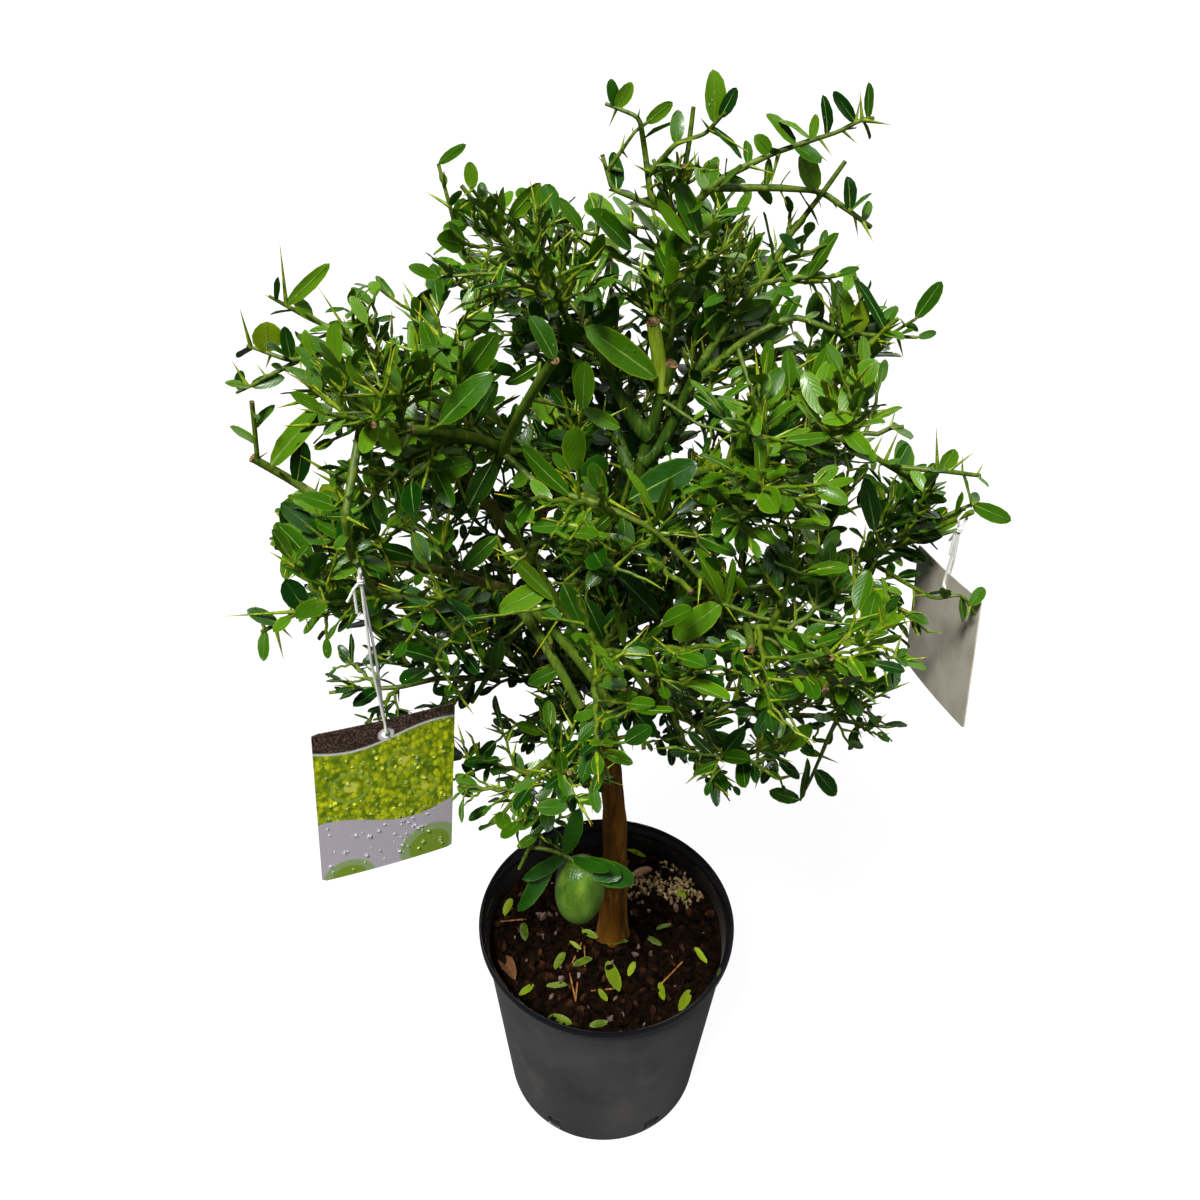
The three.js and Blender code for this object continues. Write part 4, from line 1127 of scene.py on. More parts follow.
SHOOT_LEAVES = [  # foot, end, width in pixels at the foot, and tone from old to young
    ((617, 112, 10), (631, 83, 10), 14, 0.5), ((648, 122, 10), (672, 101, 10), 13, 0.5),
    ((716, 124, 8), (716, 70, 8), 23, 0.62), ((724, 118, 8), (738, 88, 8), 14, 0.1),
    ((716, 133, 8), (747, 155, 8), 10, 0.2), ((791, 135, 10), (771, 112, 10), 16, 0.5),
    ((812, 128, 10), (783, 116, 10), 12, 0.6), ((808, 145, 10), (816, 113, 10), 10, 0.5),
    ((770, 160, 10), (757, 135, 10), 16, 0.5), ((830, 127, 10), (827, 95, 10), 15, 0.1),
    ((853, 115, 10), (833, 91, 10), 12, 0.1), ((868, 119, 10), (869, 83, 10), 11, 0.3),
    ((815, 196, 14), (803, 155, 14), 22, 0.5), ((845, 213, 14), (850, 176, 14), 18, 0.1),
    ((762, 190, 14), (768, 158, 14), 14, 0.5), ((440, 168, 12), (465, 145, 12), 10, 0.4),
    ((458, 235, 12), (464, 200, 12), 20, 0.4), ((472, 190, 16), (469, 162, 16), 14, 0.65),
    ((507, 222, 16), (540, 183, 16), 17, 0.6), ((852, 330, 4), (848, 293, 4), 14, 0.5),
    ((862, 333, 4), (862, 300, 4), 18, 0.93), ((885, 334, 4), (866, 280, 4), 15, 0.1),
    ((915, 312, 4), (942, 281, 4), 17, 0.3), ((916, 337, 4), (938, 331, 4), 8, 0.3),
    ((940, 468, -8), (955, 450, -8), 18, 0.6), ((972, 508, -10), (1011, 521, -10), 17, 0.4),
    ((968, 510, -10), (936, 531, -10), 14, 0.6), ((290, 300, 5), (330, 265, 5), 14, 0.5),
    ((312, 319, 5), (296, 298, 5), 14, 0.5), ((268, 356, -4), (268, 324, -4), 30, 0.95),
    ((290, 362, -4), (284, 325, -4), 14, 0.2), ((293, 360, -4), (318, 338, -4), 15, 0.4),
    ((256, 388, -8), (284, 378, -8), 14, 0.3), ((276, 462, -10), (317, 405, -10), 22, 0.5),
    ((300, 482, -10), (304, 440, -10), 20, 0.1), ((330, 517, -10), (292, 495, -10), 22, 0.75),
    ((345, 510, -10), (322, 484, -10), 22, 0.93), ((308, 609, -100), (285, 580, -100), 24, 0.1),
    ((799, 800, -50), (770, 791, -52), 15, 0.3), ((818, 771, -50), (837, 796, -54), 17, 0.2),
    ((803, 800, -50), (813, 765, -50), 10, 0.25), ((962, 593, -66), (963, 621, -66), 13, 0.3),
]
FACING_LEAVES = [  # as above, for leaves in the middle that face the front
    ((655, 378, -4), (592, 327, -20), 30, 0.42), ((560, 362, -88), (536, 316, -88), 28, 0.3),
    ((452, 379, -70), (497, 333, -74), 26, 0.35), ((441, 424, -84), (484, 375, -86), 26, 0.33),
    ((583, 407, -60), (585, 361, -62), 21, 0.45), ((620, 428, -50), (583, 409, -54), 15, 0.4),
    ((566, 495, -72), (516, 448, -76), 24, 0.3), ((469, 508, -66), (494, 459, -70), 24, 0.3),
    ((655, 524, -80), (676, 482, -82), 19.9, 0.5), ((630, 500, -60), (697, 463, -62), 34, 0.15),
    ((723, 603, -76), (707, 550, -80), 20, 0.64), ((726, 600, -76), (735, 560, -78), 11, 0.62),
    ((722, 605, -76), (672, 640, -80), 28, 0.5), ((555, 601, -66), (507, 553, -72), 15, 0.64),
    ((553, 582, -62), (498, 611, -74), 24, 0.62), ((658, 617, -64), (620, 573, -66), 33.1, 0.1),
    ((560, 556, -60), (605, 545, -64), 13, 0.6), ((562, 583, -64), (583, 628, -70), 24, 0.25),
    ((586, 600, -62), (606, 642, -66), 20, 0.2), ((616, 602, -66), (624, 646, -70), 14, 0.62),
    ((497, 536, -60), (463, 569, -64), 18, 0.33), ((415, 558, -60), (378, 546, -64), 24, 0.2),
    ((748, 627, -78), (783, 662, -82), 28, 0.3), ((436, 473, -66), (472, 461, -70), 28, 0.4),
    ((655, 514, -78), (634, 470, -80), 9, 0.6), ((630, 250, 20), (600, 208, 10), 26, 0.3),
    ((691, 244, 0), (657, 200, -4), 17, 0.6), ((700, 236, 4), (680, 180, 0), 24, 0.3),
    ((582, 233, 10), (562, 197, 6), 14, 0.4), ((540, 362, -60), (508, 388, -66), 15, 0.35),
    ((587, 408, -50), (580, 362, -56), 20, 0.3), ((498, 335, -50), (461, 366, -56), 20, 0.35),
    ((874, 532, -40), (868, 480, -44), 20, 0.2), ((560, 668, -60), (528, 684, -64), 15, 0.3),
    ((500, 640, -60), (494, 670, -64), 14, 0.25),
]
SHOOT_THORNS = [  # foot and point
    ((860, 121, 10), (890, 125, 10)), ((857, 122, 10), (861, 98, 10)),
    ((845, 130, 10), (857, 145, 10)), ((806, 143, 10), (828, 161, 10)),
    ((820, 192, 14), (822, 209, 14)), ((850, 214, 14), (858, 237, 14)),
    ((712, 133, 8), (748, 152, 8)), ((780, 150, 10), (770, 188, 10)),
    ((290, 300, 5), (279, 243, 5)), ((249, 346, -4), (240, 308, -4)),
    ((250, 386, -8), (232, 361, -8)), ((350, 337, 5), (319, 287, 5)),
    ((302, 609, -100), (224, 616, -100)), ((345, 512, -10), (375, 466, -10)),
    ((338, 516, -10), (299, 541, -10)), ((945, 470, -8), (976, 452, -8)),
    ((277, 627, -100), (284, 660, -100)), ((938, 468, -8), (936, 428, -8)),
    ((275, 299, 5), (262, 293, 5)), ((475, 270, 12), (455, 285, 12)),
    ((880, 462, 0), (899, 428, 0)), ((925, 535, -10), (950, 508, -10)),
]
FACING_THORNS = [
    ((580, 498, -72), (564, 466, -76)), ((660, 529, -80), (697, 537, -84)),
    ((580, 500, -72), (548, 548, -80)), ((613, 543, -66), (598, 579, -72)),
    ((555, 608, -66), (533, 658, -76)), ((469, 524, -62), (457, 474, -70)),
    ((431, 428, -84), (432, 380, -84)), ((534, 407, -70), (583, 412, -70)),
    ((692, 653, -70), (645, 687, -80)), ((770, 405, -18), (774, 443, -22)),
    ((380, 566, -50), (411, 595, -60)), ((737, 435, -20), (747, 436, -20)),
    ((655, 529, -80), (640, 497, -84)), ((412, 432, -88), (392, 436, -90)),
    ((723, 605, -76), (737, 622, -82)), ((478, 548, -60), (500, 562, -66)),
]
OPEN_SHOOTS = range(20, 28)
SHOOT_RINGS = 28
SHOWN_FACE = np.array((0.35, -0.78, 0.5))
FACING_GAP = 5 * MM
PHOTO_SIZE = 1200
SENSOR_WIDTH = 36.0
CAMERA_LENS = 33.0
CAMERA_PITCH = math.radians(37.7)
CAMERA_ROLL = math.radians(1.12)
facing_rng = np.random.default_rng(452)


def sights(spots):
    """The camera's lines of sight through spots, turned by its roll and its pitch, and how far
    along each line, in millimetres, the upright plane at the spot's depth lies."""
    spots = np.asarray(spots, float)
    focus = PHOTO_SIZE * CAMERA_LENS / SENSOR_WIDTH
    x, y = (spots[..., 0] - PHOTO_SIZE / 2) / focus, (PHOTO_SIZE / 2 - spots[..., 1]) / focus
    cos, sin = math.cos(CAMERA_ROLL), math.sin(CAMERA_ROLL)
    right, up = cos * x - sin * y, sin * x + cos * y
    cos, sin = math.cos(CAMERA_PITCH), math.sin(CAMERA_PITCH)
    ways = np.stack([right, up * sin + cos, up * cos - sin], -1)
    return ways, (spots[..., 2] - CAMERA_PLACE[1] / MM) / ways[..., 1]


def seen_at(spots):
    """The places of spots, to the whole millimetre."""
    ways, far = sights(spots)
    return np.round(CAMERA_PLACE / MM + ways * far[..., None]) * MM


def seen_leaves(rows):
    """Leaves read off the photo, as foot, end, width and tone."""
    focus = PHOTO_SIZE * CAMERA_LENS / SENSOR_WIDTH
    return [(*seen_at((foot, end)), round(width * sights(foot)[1] / focus, 1) * MM, tone)
            for foot, end, width, tone in rows]


def facing_up(way):
    """The upper side of a blade that faces the front, rolled a little about its own length."""
    up = unit(SHOWN_FACE - way * (SHOWN_FACE @ way))
    roll = facing_rng.normal(0, 0.28)
    return up * math.cos(roll) + np.cross(way, up) * math.sin(roll)


def add_set_leaf(root, end, width, tone):
    """A leaf that faces the front, from its root to its end."""
    length = np.linalg.norm(end - root)
    way = (end - root) / length
    grown["leaf"].append((root, way, facing_up(way), length, width, tone))


def add_set_thorns(rows, twigs):
    """Thorns read off the photo, each from the nearest twig to its point."""
    for foot, end in (seen_at(row) for row in rows):
        root = nearest_of(twigs, foot)
        grown["thorn"].append((root, unit(end - root), np.linalg.norm(end - root)))


shoot_paths = []
for spots, _, _ in SHOOTS:
    points = seen_at(spots)
    points[0] = nearest_of(np.concatenate([limb_points, *stub_paths] + shoot_paths), points[0])
    shoot_paths.append(eased_path(points, SHOOT_RINGS))
on_shoots = np.concatenate(shoot_paths)
facing_leaves = seen_leaves(FACING_LEAVES)
windows = [(*ends, 5.5 * MM) for ends in stub_ends[:7]]
windows += [(centre_at(590 * MM)[0], centre_at(663 * MM)[0], 9 * MM)]
windows += [(path[0], path[-1], 5 * MM) for path in old_paths]
windows += [(shoot_paths[number][at], shoot_paths[number][at + 9], 3.5 * MM)
            for number in OPEN_SHOOTS for at in (0, 9, 18)]
windows += [(foot, end, width * 0.35) for foot, end, width, _ in facing_leaves]
windows += [(FRUIT_MIDDLE - UP * 12 * MM, FRUIT_MIDDLE + UP * 5 * MM, 15 * MM),
            (centre_at(180 * MM)[0], centre_at(330 * MM)[0], 8 * MM)]
left_card = np.array(TAGS["left"]["place"]) * MM
left_up = tag_axes(TAGS["left"])[2]
windows += [(left_card - left_up * 22 * MM, left_card + left_up * 22 * MM, 40 * MM),
            (left_card, np.array(TAGS["left"]["hangs_from"]) * MM, 7 * MM)]
open_windows = make_windows(windows)
for foot, end, _, _ in facing_leaves:
    take(foot + (end - foot) * BLADE_SHARES)
for foot, end, width, tone in seen_leaves(SHOOT_LEAVES):
    root = nearest_of(on_shoots, foot)
    add_set_leaf(root, end, width, tone)
    take(root + (end - root) * BLADE_SHARES)
add_set_thorns(SHOOT_THORNS, on_shoots)
take(on_shoots)
shoot_rng = np.random.default_rng(450)
for path, (_, (_, end_radius), clipped) in zip(shoot_paths, SHOOTS):
    end_way = unit(path[-1] - path[-3])
    if clipped:
        grown["cut"].append((path[-1], end_way, end_radius * 1.05 * MM))
    length = np.linalg.norm(np.diff(path, axis=0), axis=1).sum()
    for ring in node_rings(SHOOT_RINGS, length, 10 * MM):
        way = unit(path[ring + 1] - path[ring - 1])
        side = unit(np.cross(way, unit(shoot_rng.normal(0, 1, 3))))
        add_leaf(None, path[ring], unit(way * 0.5 + side + UP * 0.4), shoot_rng, 0.8, 0.4)
        if shoot_rng.random() < 0.6:
            add_thorn(None, path[ring], unit(way * 0.3 - side + UP * 0.2), shoot_rng, 15 * MM)

take(np.concatenate([bough_path(plan)[4:] for plan in with_bough]))
take(stub_paths.reshape(-1, 3))
for spray, plan in enumerate(plans):
    grow_spray(spray, plan)
grown_paths = [path[1:] for kind in ("stem", "side", "sprig") for path, _, _ in grown[kind]]
twig_points = np.concatenate(grown_paths + [on_shoots, limb_points, *stub_paths])
for foot, end, width, tone in facing_leaves:
    root = nearest_of(twig_points, foot)
    gap = np.linalg.norm(foot - root)
    if gap > FACING_GAP:
        middle = (root + foot) / 2 - UP * 0.12 * gap
        grown["sprig"].append((eased_path([root, middle, foot], 6), 1.05 * MM, 0.8 * MM))
        root = foot
    add_set_leaf(root, end, min(width, np.linalg.norm(end - root) * 0.5), tone)
add_set_thorns(FACING_THORNS, twig_points)

foliage_nodes = [f"foliage_{plan['name']}" for plan in plans]


def limb_arrays(items):
    """Paths and radii of like limbs, each tapering evenly from its foot to its end."""
    paths = np.stack([path for path, _, _ in items])
    return paths, tapered(np.array([radii for _, *radii in items]), paths.shape[1])


def twig_material(name, dark, light, roughness=0.5):
    """Green twig skin: fine streaks and specks of two greens."""
    return two_tone(name, dark, light, (330, 0.35, 0.66, (1, 1, 1), 4), (900, 0.15 * MM), roughness, 0.45)


TWIG_GREEN = twig_material("twig_green", (0.035, 0.09, 0.002, 1), (0.16, 0.23, 0.008, 1))
SPRIG_GREEN = twig_material("sprig_green", (0.055, 0.13, 0.002, 1), (0.21, 0.3, 0.009, 1), 0.42)
paths, radii = limb_arrays(grown["stem"])
stems = tube_piece("spray_stems", paths, bark_radii(paths, radii, 9, 0.1 * MM, 51), 9,
                   TWIG_GREEN, "leaves", 70)
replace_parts(stems, *foliage_nodes)
paths = np.stack(shoot_paths)
radii = tapered(np.array([radii for _, radii, _ in SHOOTS]) * MM, SHOOT_RINGS)
tube_piece("long_shoots", paths, bark_radii(paths, radii, 10, 0.1 * MM, 53), 10,
           TWIG_GREEN, "leaves", 70)
tube_piece("side_twigs", *limb_arrays(grown["side"]), 7, TWIG_GREEN, "leaves", 70)
tube_piece("fine_shoots", *limb_arrays(grown["sprig"]), 5, SPRIG_GREEN, "leaves", 80)

# Thorns
# Straight, stiff and round, in the axils of the leaves: green at the foot and ripening to a
# yellow, then brown, point.
THORN_SHARE_OF_TIP = 0.22


def thorn_parts(thorns):
    """Cones whose radius falls evenly to the point, cut in two where the tip's colour starts."""
    roots = np.stack([root for root, _, _ in thorns])
    ways = np.stack([way * length for _, way, length in thorns])
    thick = np.clip(np.linalg.norm(ways, axis=1) * 0.078, 0.55 * MM, 1.2 * MM)[:, None]
    cut = 1 - THORN_SHARE_OF_TIP
    return [(roots[:, None] + ways[:, None] * shares[:, None], thick * (1.05 - shares) + 0.03 * MM)
            for shares in (np.array((0, cut)), np.array((cut, 1.0)))]


THORN_GREEN = twig_material("thorn_green", (0.12, 0.23, 0.004, 1), (0.36, 0.45, 0.014, 1), 0.35)
THORN_YELLOW = twig_material("thorn_yellow", (0.5, 0.27, 0.008, 1), (0.8, 0.6, 0.02, 1), 0.35)
body, point = thorn_parts(grown["thorn"])
tube_piece("thorns", *body, 5, THORN_GREEN, "leaves", 80)
tube_piece("thorn_points", *point, 5, THORN_YELLOW, "leaves", 80)

# Cut faces
# Where secateurs took a twig or stub off square: pale wood with a browned edge, a little proud
# where it has callused.


def cut_faces(cuts):
    """Low domed plugs on the limbs' ends: four rings that close in as they rise."""
    roots = np.stack([root for root, _, _ in cuts])[:, None]
    ways = np.stack([way for _, way, _ in cuts])[:, None]
    wide = np.array([radius for _, _, radius in cuts])[:, None]
    rise = np.array((-0.5, 0.12, 0.3, 0.34))[:, None] * MM
    return roots + ways * rise, wide * np.array((1.03, 1.06, 0.85, 0.3))


CUT_WOOD = two_tone("cut_wood", (0.07, 0.035, 0.015, 1), (0.33, 0.2, 0.08, 1), (700, 0.4, 0.6),
                    (1500, 0.2 * MM), 0.8, 0.3)
cuts = list(grown["cut"])
for paths, ends in ((stub_paths, stub_radii[:, 1]), (old_paths, old_radii[:, -1])):
    cuts += [(path[-1], unit(path[-1] - path[-2]), end) for path, end in zip(paths, ends)]
tube_piece("pruning_cuts", *cut_faces(cuts), 10, CUT_WOOD, "brown_bark", 40)

# Leaves
# Small firm citrus leaves, narrow at the foot and round at the end, folded a little along the
# midrib and arched. The skin is waxy, and shoots go from dark old leaves to yellow-green ones.
LEAF_STATIONS = np.array((0.0, 0.12, 0.33, 0.58, 0.8, 0.94, 1.0))
LEAF_ACROSS = np.array((1.0, 0.55, 0.0, -0.55, -1.0, 0.0))
LEAF_THICKNESS = 0.35 * MM


def half_outline(shares):
    """Half the blade's width along it, as a share of the most: an ellipse whose length is
    stretched towards the stalk, its ends drawn in a little, so the foot is a wedge."""
    along = np.clip(shares, 0, 1) ** 1.12
    return (2 * np.sqrt(along * (1 - along))) ** 1.14


def leaf_frames(leaves, seed):
    """Arrays of what differs from leaf to leaf: place, directions, size, fold, arch and wave."""
    rng = np.random.default_rng(seed)
    count = len(leaves)
    lengths = np.array([leaf[3] for leaf in leaves])
    set_widths = np.array([leaf[4] for leaf in leaves])
    return {
        "root": np.stack([leaf[0] for leaf in leaves]),
        "along": np.stack([leaf[1] for leaf in leaves]),
        "up": np.stack([leaf[2] for leaf in leaves]),
        "length": lengths,
        "width": np.where(set_widths > 0, set_widths / 2, lengths * rng.uniform(0.19, 0.255, count)),
        "fold": rng.uniform(0.04, 0.3, count),
        "arch": rng.uniform(-0.06, 0.2, count) * lengths,
        "wave": rng.uniform(0, 6.28, count),
        "shade": rng.random(count),
    }


def blade_places(frames, stations, across, lift=0.0):
    """Points of every blade: along it, across it by the outline, raised by the fold towards the
    margin, dropped by the arch and rippled a little. The last of the six across is underneath."""
    along, up = frames["along"][:, None, None], frames["up"][:, None, None]
    side = np.cross(up, along)
    s = stations[:, None]
    length = frames["length"][:, None, None]
    half = frames["width"][:, None, None] * half_outline(s) + 0.35 * MM * (1 - s)
    out = half * across
    ripple = 0.02 * length * np.sin(9 * s + frames["wave"][:, None, None]) * np.abs(across)
    rise = frames["fold"][:, None, None] * np.abs(out) + ripple - frames["arch"][:, None, None] * s ** 2
    rise = rise + lift
    root = frames["root"][:, None, None]
    return root + along * (length * s)[..., None] + side * out[..., None] + up * rise[..., None]


def blade_mesh(frames):
    """Closed blades of six rows of six: five corners over the top and one under the midrib."""
    places = blade_places(frames, LEAF_STATIONS, LEAF_ACROSS)
    places[:, :, -1] -= frames["up"][:, None] * LEAF_THICKNESS
    count, rows, columns = places.shape[:3]
    u = np.broadcast_to(0.5 + 0.5 * LEAF_ACROSS, (count, rows, columns))
    v = np.broadcast_to(LEAF_STATIONS[:, None], (count, rows, columns))
    shade = np.repeat(frames["shade"], rows * columns)
    uv = np.stack([u, v], -1).reshape(-1, 2)
    return places.reshape(-1, 3), closed_faces(rows, columns, count), uv, shade


def leaf_piece(name, frames, material, slot="leaves"):
    """A piece of closed blades."""
    places, faces, uv, shade = blade_mesh(frames)
    return make_piece(name, places, faces, material, slot, uv=uv, shade=shade, sharp=75)


def midrib_mesh(frames):
    """A thin raised rib down the middle of each blade's upper side, from the stalk to near its end."""
    stations = np.array((0.0, 0.2, 0.45, 0.7, 0.93))
    middle = blade_places(frames, stations, np.zeros(1), 0.05 * MM)[:, :, 0]
    wide = 0.36 * MM * (1.15 - stations)[None] * (frames["length"] / (26 * MM))[:, None]
    side = np.cross(frames["up"], frames["along"])[:, None]
    up = frames["up"][:, None]
    ring = np.stack([middle + side * wide[..., None], middle + up * 0.28 * MM,
                     middle - side * wide[..., None]], 2)
    return ring.reshape(-1, 3), closed_faces(*ring.shape[1:3], len(ring))


def leaf_material(name, dark, light, margin):
    """Waxy leaf skin: its own tone between two greens, a paler margin and stalk, faint side veins."""
    material, tree, surface = new_material(name, 0.3, 0.34, 0.08, 0.08)
    own = add_node(tree, "Attribute", {}, attribute_name="shade").outputs["Fac"]
    patches = mottle(tree, 160, 0.3, 0.7)
    colour = blend(tree, own, dark, light)
    colour = blend(tree, span(tree, patches, 0, 0.35), colour, light)
    uv = add_node(tree, "UVMap", {}, uv_map="UVMap").outputs["UV"]
    parts = add_node(tree, "SeparateXYZ", {"Vector": uv}).outputs
    off_rib = reckon(tree, "ABSOLUTE", reckon(tree, "SUBTRACT", parts["X"], 0.5))
    colour = blend(tree, ramp(tree, off_rib, 0.43, 0.5, 0.0, 0.8), colour, margin)
    slope = reckon(tree, "MULTIPLY_ADD", off_rib, 0.7, parts["Y"])
    veins = reckon(tree, "SINE", reckon(tree, "MULTIPLY", slope, 45.0))
    bump = add_node(tree, "Bump", {"Height": veins, "Distance": 0.03 * MM, "Strength": 0.6})
    finish_with(tree, surface, colour=colour, roughness=span(tree, patches, 0.24, 0.4),
                normal=bump.outputs["Normal"])
    return material


LEAF_TINTS = [
    ("leaves_deep", -1.0, (0.002, 0.026, 0.0006, 1), (0.007, 0.056, 0.001, 1), (0.035, 0.12, 0.003, 1)),
    ("leaves_dark", 0.12, (0.005, 0.042, 0.0006, 1), (0.016, 0.085, 0.001, 1), (0.065, 0.17, 0.004, 1)),
    ("leaves_green", 0.24, (0.016, 0.08, 0.0007, 1), (0.036, 0.13, 0.0012, 1), (0.15, 0.26, 0.006, 1)),
    ("leaves_mid", 0.35, (0.03, 0.11, 0.0008, 1), (0.06, 0.175, 0.0016, 1), (0.2, 0.31, 0.01, 1)),
    ("leaves_fresh", 0.48, (0.055, 0.165, 0.001, 1), (0.11, 0.26, 0.003, 1), (0.28, 0.38, 0.02, 1)),
    ("leaves_young", 0.76, (0.15, 0.26, 0.002, 1), (0.27, 0.38, 0.008, 1), (0.4, 0.46, 0.04, 1)),
]
tones = np.array([leaf[5] for leaf in grown["leaf"]])
tint_of = np.searchsorted([start for _, start, *_ in LEAF_TINTS], tones, side="right") - 1
tint_of = np.clip(tint_of, 0, len(LEAF_TINTS) - 1)
leaf_sets = {}
for tint, (name, _, dark, light, margin) in enumerate(LEAF_TINTS):
    chosen = [leaf for leaf, its_tint in zip(grown["leaf"], tint_of) if its_tint == tint]
    leaf_sets[name] = leaf_frames(chosen, 600 + tint)
    leaf_piece(name, leaf_sets[name], leaf_material(name, dark, light, margin))
MIDRIB_GREEN = twig_material("midrib_green", (0.13, 0.24, 0.03, 1), (0.26, 0.38, 0.08, 1), 0.35)
rib_places, rib_faces = zip(*(midrib_mesh(frames) for frames in leaf_sets.values()))
rib_starts = np.cumsum([0] + [len(places) for places in rib_places])
rib_faces = [part + start for faces, start in zip(rib_faces, rib_starts) for part in faces]
make_piece("leaf_midribs", np.concatenate(rib_places), rib_faces, MIDRIB_GREEN, "leaves", sharp=80)

# Fruit
# One green fruit on a short stalk under the drooping spray: an oval with a low neck, its skin
# pitted with oil glands, and the calyx still on.
FRUIT_ROWS = 60
FRUIT_COLUMNS = 72
FRUIT_SEEN = FRUIT_RADII * (0.88, 0.88, 0.95)


def fruit_surface():
    """An oval of revolution from pole to pole, drawn in a little at the neck, dented and pitted."""
    down = np.linspace(0.02, math.pi - 0.02, FRUIT_ROWS)[::-1, None]
    turns = np.arange(FRUIT_COLUMNS) * 2 * math.pi / FRUIT_COLUMNS
    ways = np.stack([np.sin(down) * np.cos(turns), np.sin(down) * np.sin(turns),
                     np.cos(down) + 0 * turns], -1)
    barrel = np.concatenate([ways[..., :2] * np.sin(down)[..., None] ** -0.25, ways[..., 2:]], -1)
    swell = 1 + 0.03 * lumps(ways, 1.6, 61, 2) + 0.02 * np.cos(5 * turns) * np.sin(down) ** 2
    neck = 1 - 0.1 * np.exp(-(down / 0.4) ** 2)
    places = barrel * FRUIT_SEEN * np.minimum(swell, 1.02)[..., None]
    places[..., :2] *= neck[..., None]
    pits = np.abs(lumps(ways, 0.16, 62, 1)) ** 2
    return FRUIT_MIDDLE + places - ways * pits[..., None] * 0.12 * MM


def fruit_material():
    """Glossy green peel with darker patches and fine gland pits."""
    material, tree, surface = new_material("fruit_peel", 0.36, 0.5, 0.2, 0.15)
    patches, flecks = mottle(tree, 45, 0.35, 0.65, (1, 1, 0.6)), mottle(tree, 90, 0.5, 0.75, (1, 1, 0.3), 4)
    colour = blend(tree, patches, (0.03, 0.1, 0.003, 1), (0.115, 0.24, 0.012, 1))
    colour = blend(tree, flecks, colour, (0.2, 0.33, 0.03, 1))
    finish_with(tree, surface, colour=colour, normal=relief(tree, 700, 0.5 * MM, detail=2))
    return material


ring_piece("fruit", fruit_surface(), fruit_material(), "leaves")
fruit_top = FRUIT_MIDDLE + UP * (FRUIT_SEEN[2] - 2 * MM)
stalk_root = nearest_of(plans[-1]["stem"], fruit_top)
t = np.linspace(0, 1, 12)[:, None]
stalk_path = stalk_root * (1 - t) + fruit_top * t + (UP * 4 * MM) * np.sin(math.pi * t)
stalk_radii = np.interp(t[:, 0], (0, 0.85, 0.95, 1), np.array((1.3, 1.5, 2.8, 4.2)) * MM)[None]
tube_piece("fruit_stalk", stalk_path[None], stalk_radii, 10, TWIG_GREEN, "leaves", 70)
FRUIT_LEAVES = [  # stalk end, blade end, width in millimetres
    ((-22, -80, 356), (6, -86, 352), 15), ((-18, -78, 352), (16, -82, 343), 17),
    ((-24, -76, 360), (-2, -92, 366), 8), ((-30, -80, 356), (-52, -96, 360), 10),
    ((-36, -76, 352), (-56, -104, 338), 12), ((-26, -72, 362), (-20, -58, 384), 12),
]
fruit_leaves = []
for foot, end, width in FRUIT_LEAVES:
    root = nearest_of(stalk_path, np.array(foot) * MM)
    way = np.array(end) * MM - root
    length = np.linalg.norm(way)
    up = unit(SHOWN_FACE - way * (SHOWN_FACE @ way) / length ** 2)
    fruit_leaves.append((root, way / length, up, length, width * MM, 0))
leaf_piece("fruit_leaves", leaf_frames(fruit_leaves, 65), bpy.data.materials["leaves_dark"])

# Fallen leaves
# A couple of dozen yellowed leaves and two curled dead ones lie on the mix where they dropped,
# each flat and a little tilted.
FALLEN_GREEN = leaf_material("fallen_yellow", (0.02, 0.055, 0.002, 1), (0.22, 0.31, 0.006, 1),
                             (0.26, 0.31, 0.02, 1))
FALLEN = [  # x, y, turn in degrees and length, in millimetres
    (-65, -3, 100, 17), (-36, -27, 70, 18), (-37, -50, 15, 17), (-18, -29, 200, 16),
    (-13, -4, 150, 15), (9, -9, 10, 17), (38, -8, 330, 14), (43, -51, 100, 15),
    (60, -59, 60, 20), (-34, -76, 160, 20), (-5, -81, 190, 14), (-80, 22, 80, 19),
    (-48, 62, 20, 16), (25, 80, 340, 18), (46, 6, 200, 13), (6, -39, 110, 27),
    (20, -33, 250, 14), (-2, -58, 300, 13), (-60, -52, 40, 14), (74, -20, 130, 15),
    (-30, 20, 220, 14), (62, 40, 300, 14), (-12, 66, 90, 15), (-24, -14, 320, 12),
]


def fallen_leaf(x, y, turn, length, place):
    """One leaf laid on the mix, a little tilted."""
    rng = np.random.default_rng(700 + place)
    at = np.array((x * MM, y * MM, 0.0))
    at[2] = soil_top(at[:1], at[1:2])[0] + 4.9 * MM
    angle = math.radians(turn)
    way = unit(np.array((math.cos(angle), math.sin(angle), rng.normal(0, 0.12))))
    up = unit(np.cross(way, np.array((-way[1], way[0], rng.normal(0, 0.25)))))
    up = up if up[2] > 0 else -up
    return (at - way * length * MM / 2, way, up, length * MM, length * 0.36 * MM, 0.0)


frames = leaf_frames([fallen_leaf(*leaf, place) for place, leaf in enumerate(FALLEN)], 71)
leaf_piece("fallen_leaves", frames, FALLEN_GREEN, "potting_mix")
frames = leaf_frames([fallen_leaf(-76, -33, 118, 30, 50), fallen_leaf(30, 62, 30, 22, 51)], 72)
frames["fold"][:] = (1.1, 0.7)
frames["arch"][:] = (6 * MM, 3 * MM)
DEAD_LEAF = leaf_material("dead_leaf", (0.05, 0.018, 0.006, 1), (0.28, 0.13, 0.06, 1), (0.2, 0.09, 0.04, 1))
leaf_piece("dead_leaves", frames, DEAD_LEAF, "potting_mix")

# Water drops
# A light watering left beads on about a quarter of the leaves, two on each, and on the front of
# the left card. They are clear and low.
DROP_SHARE = 0.26


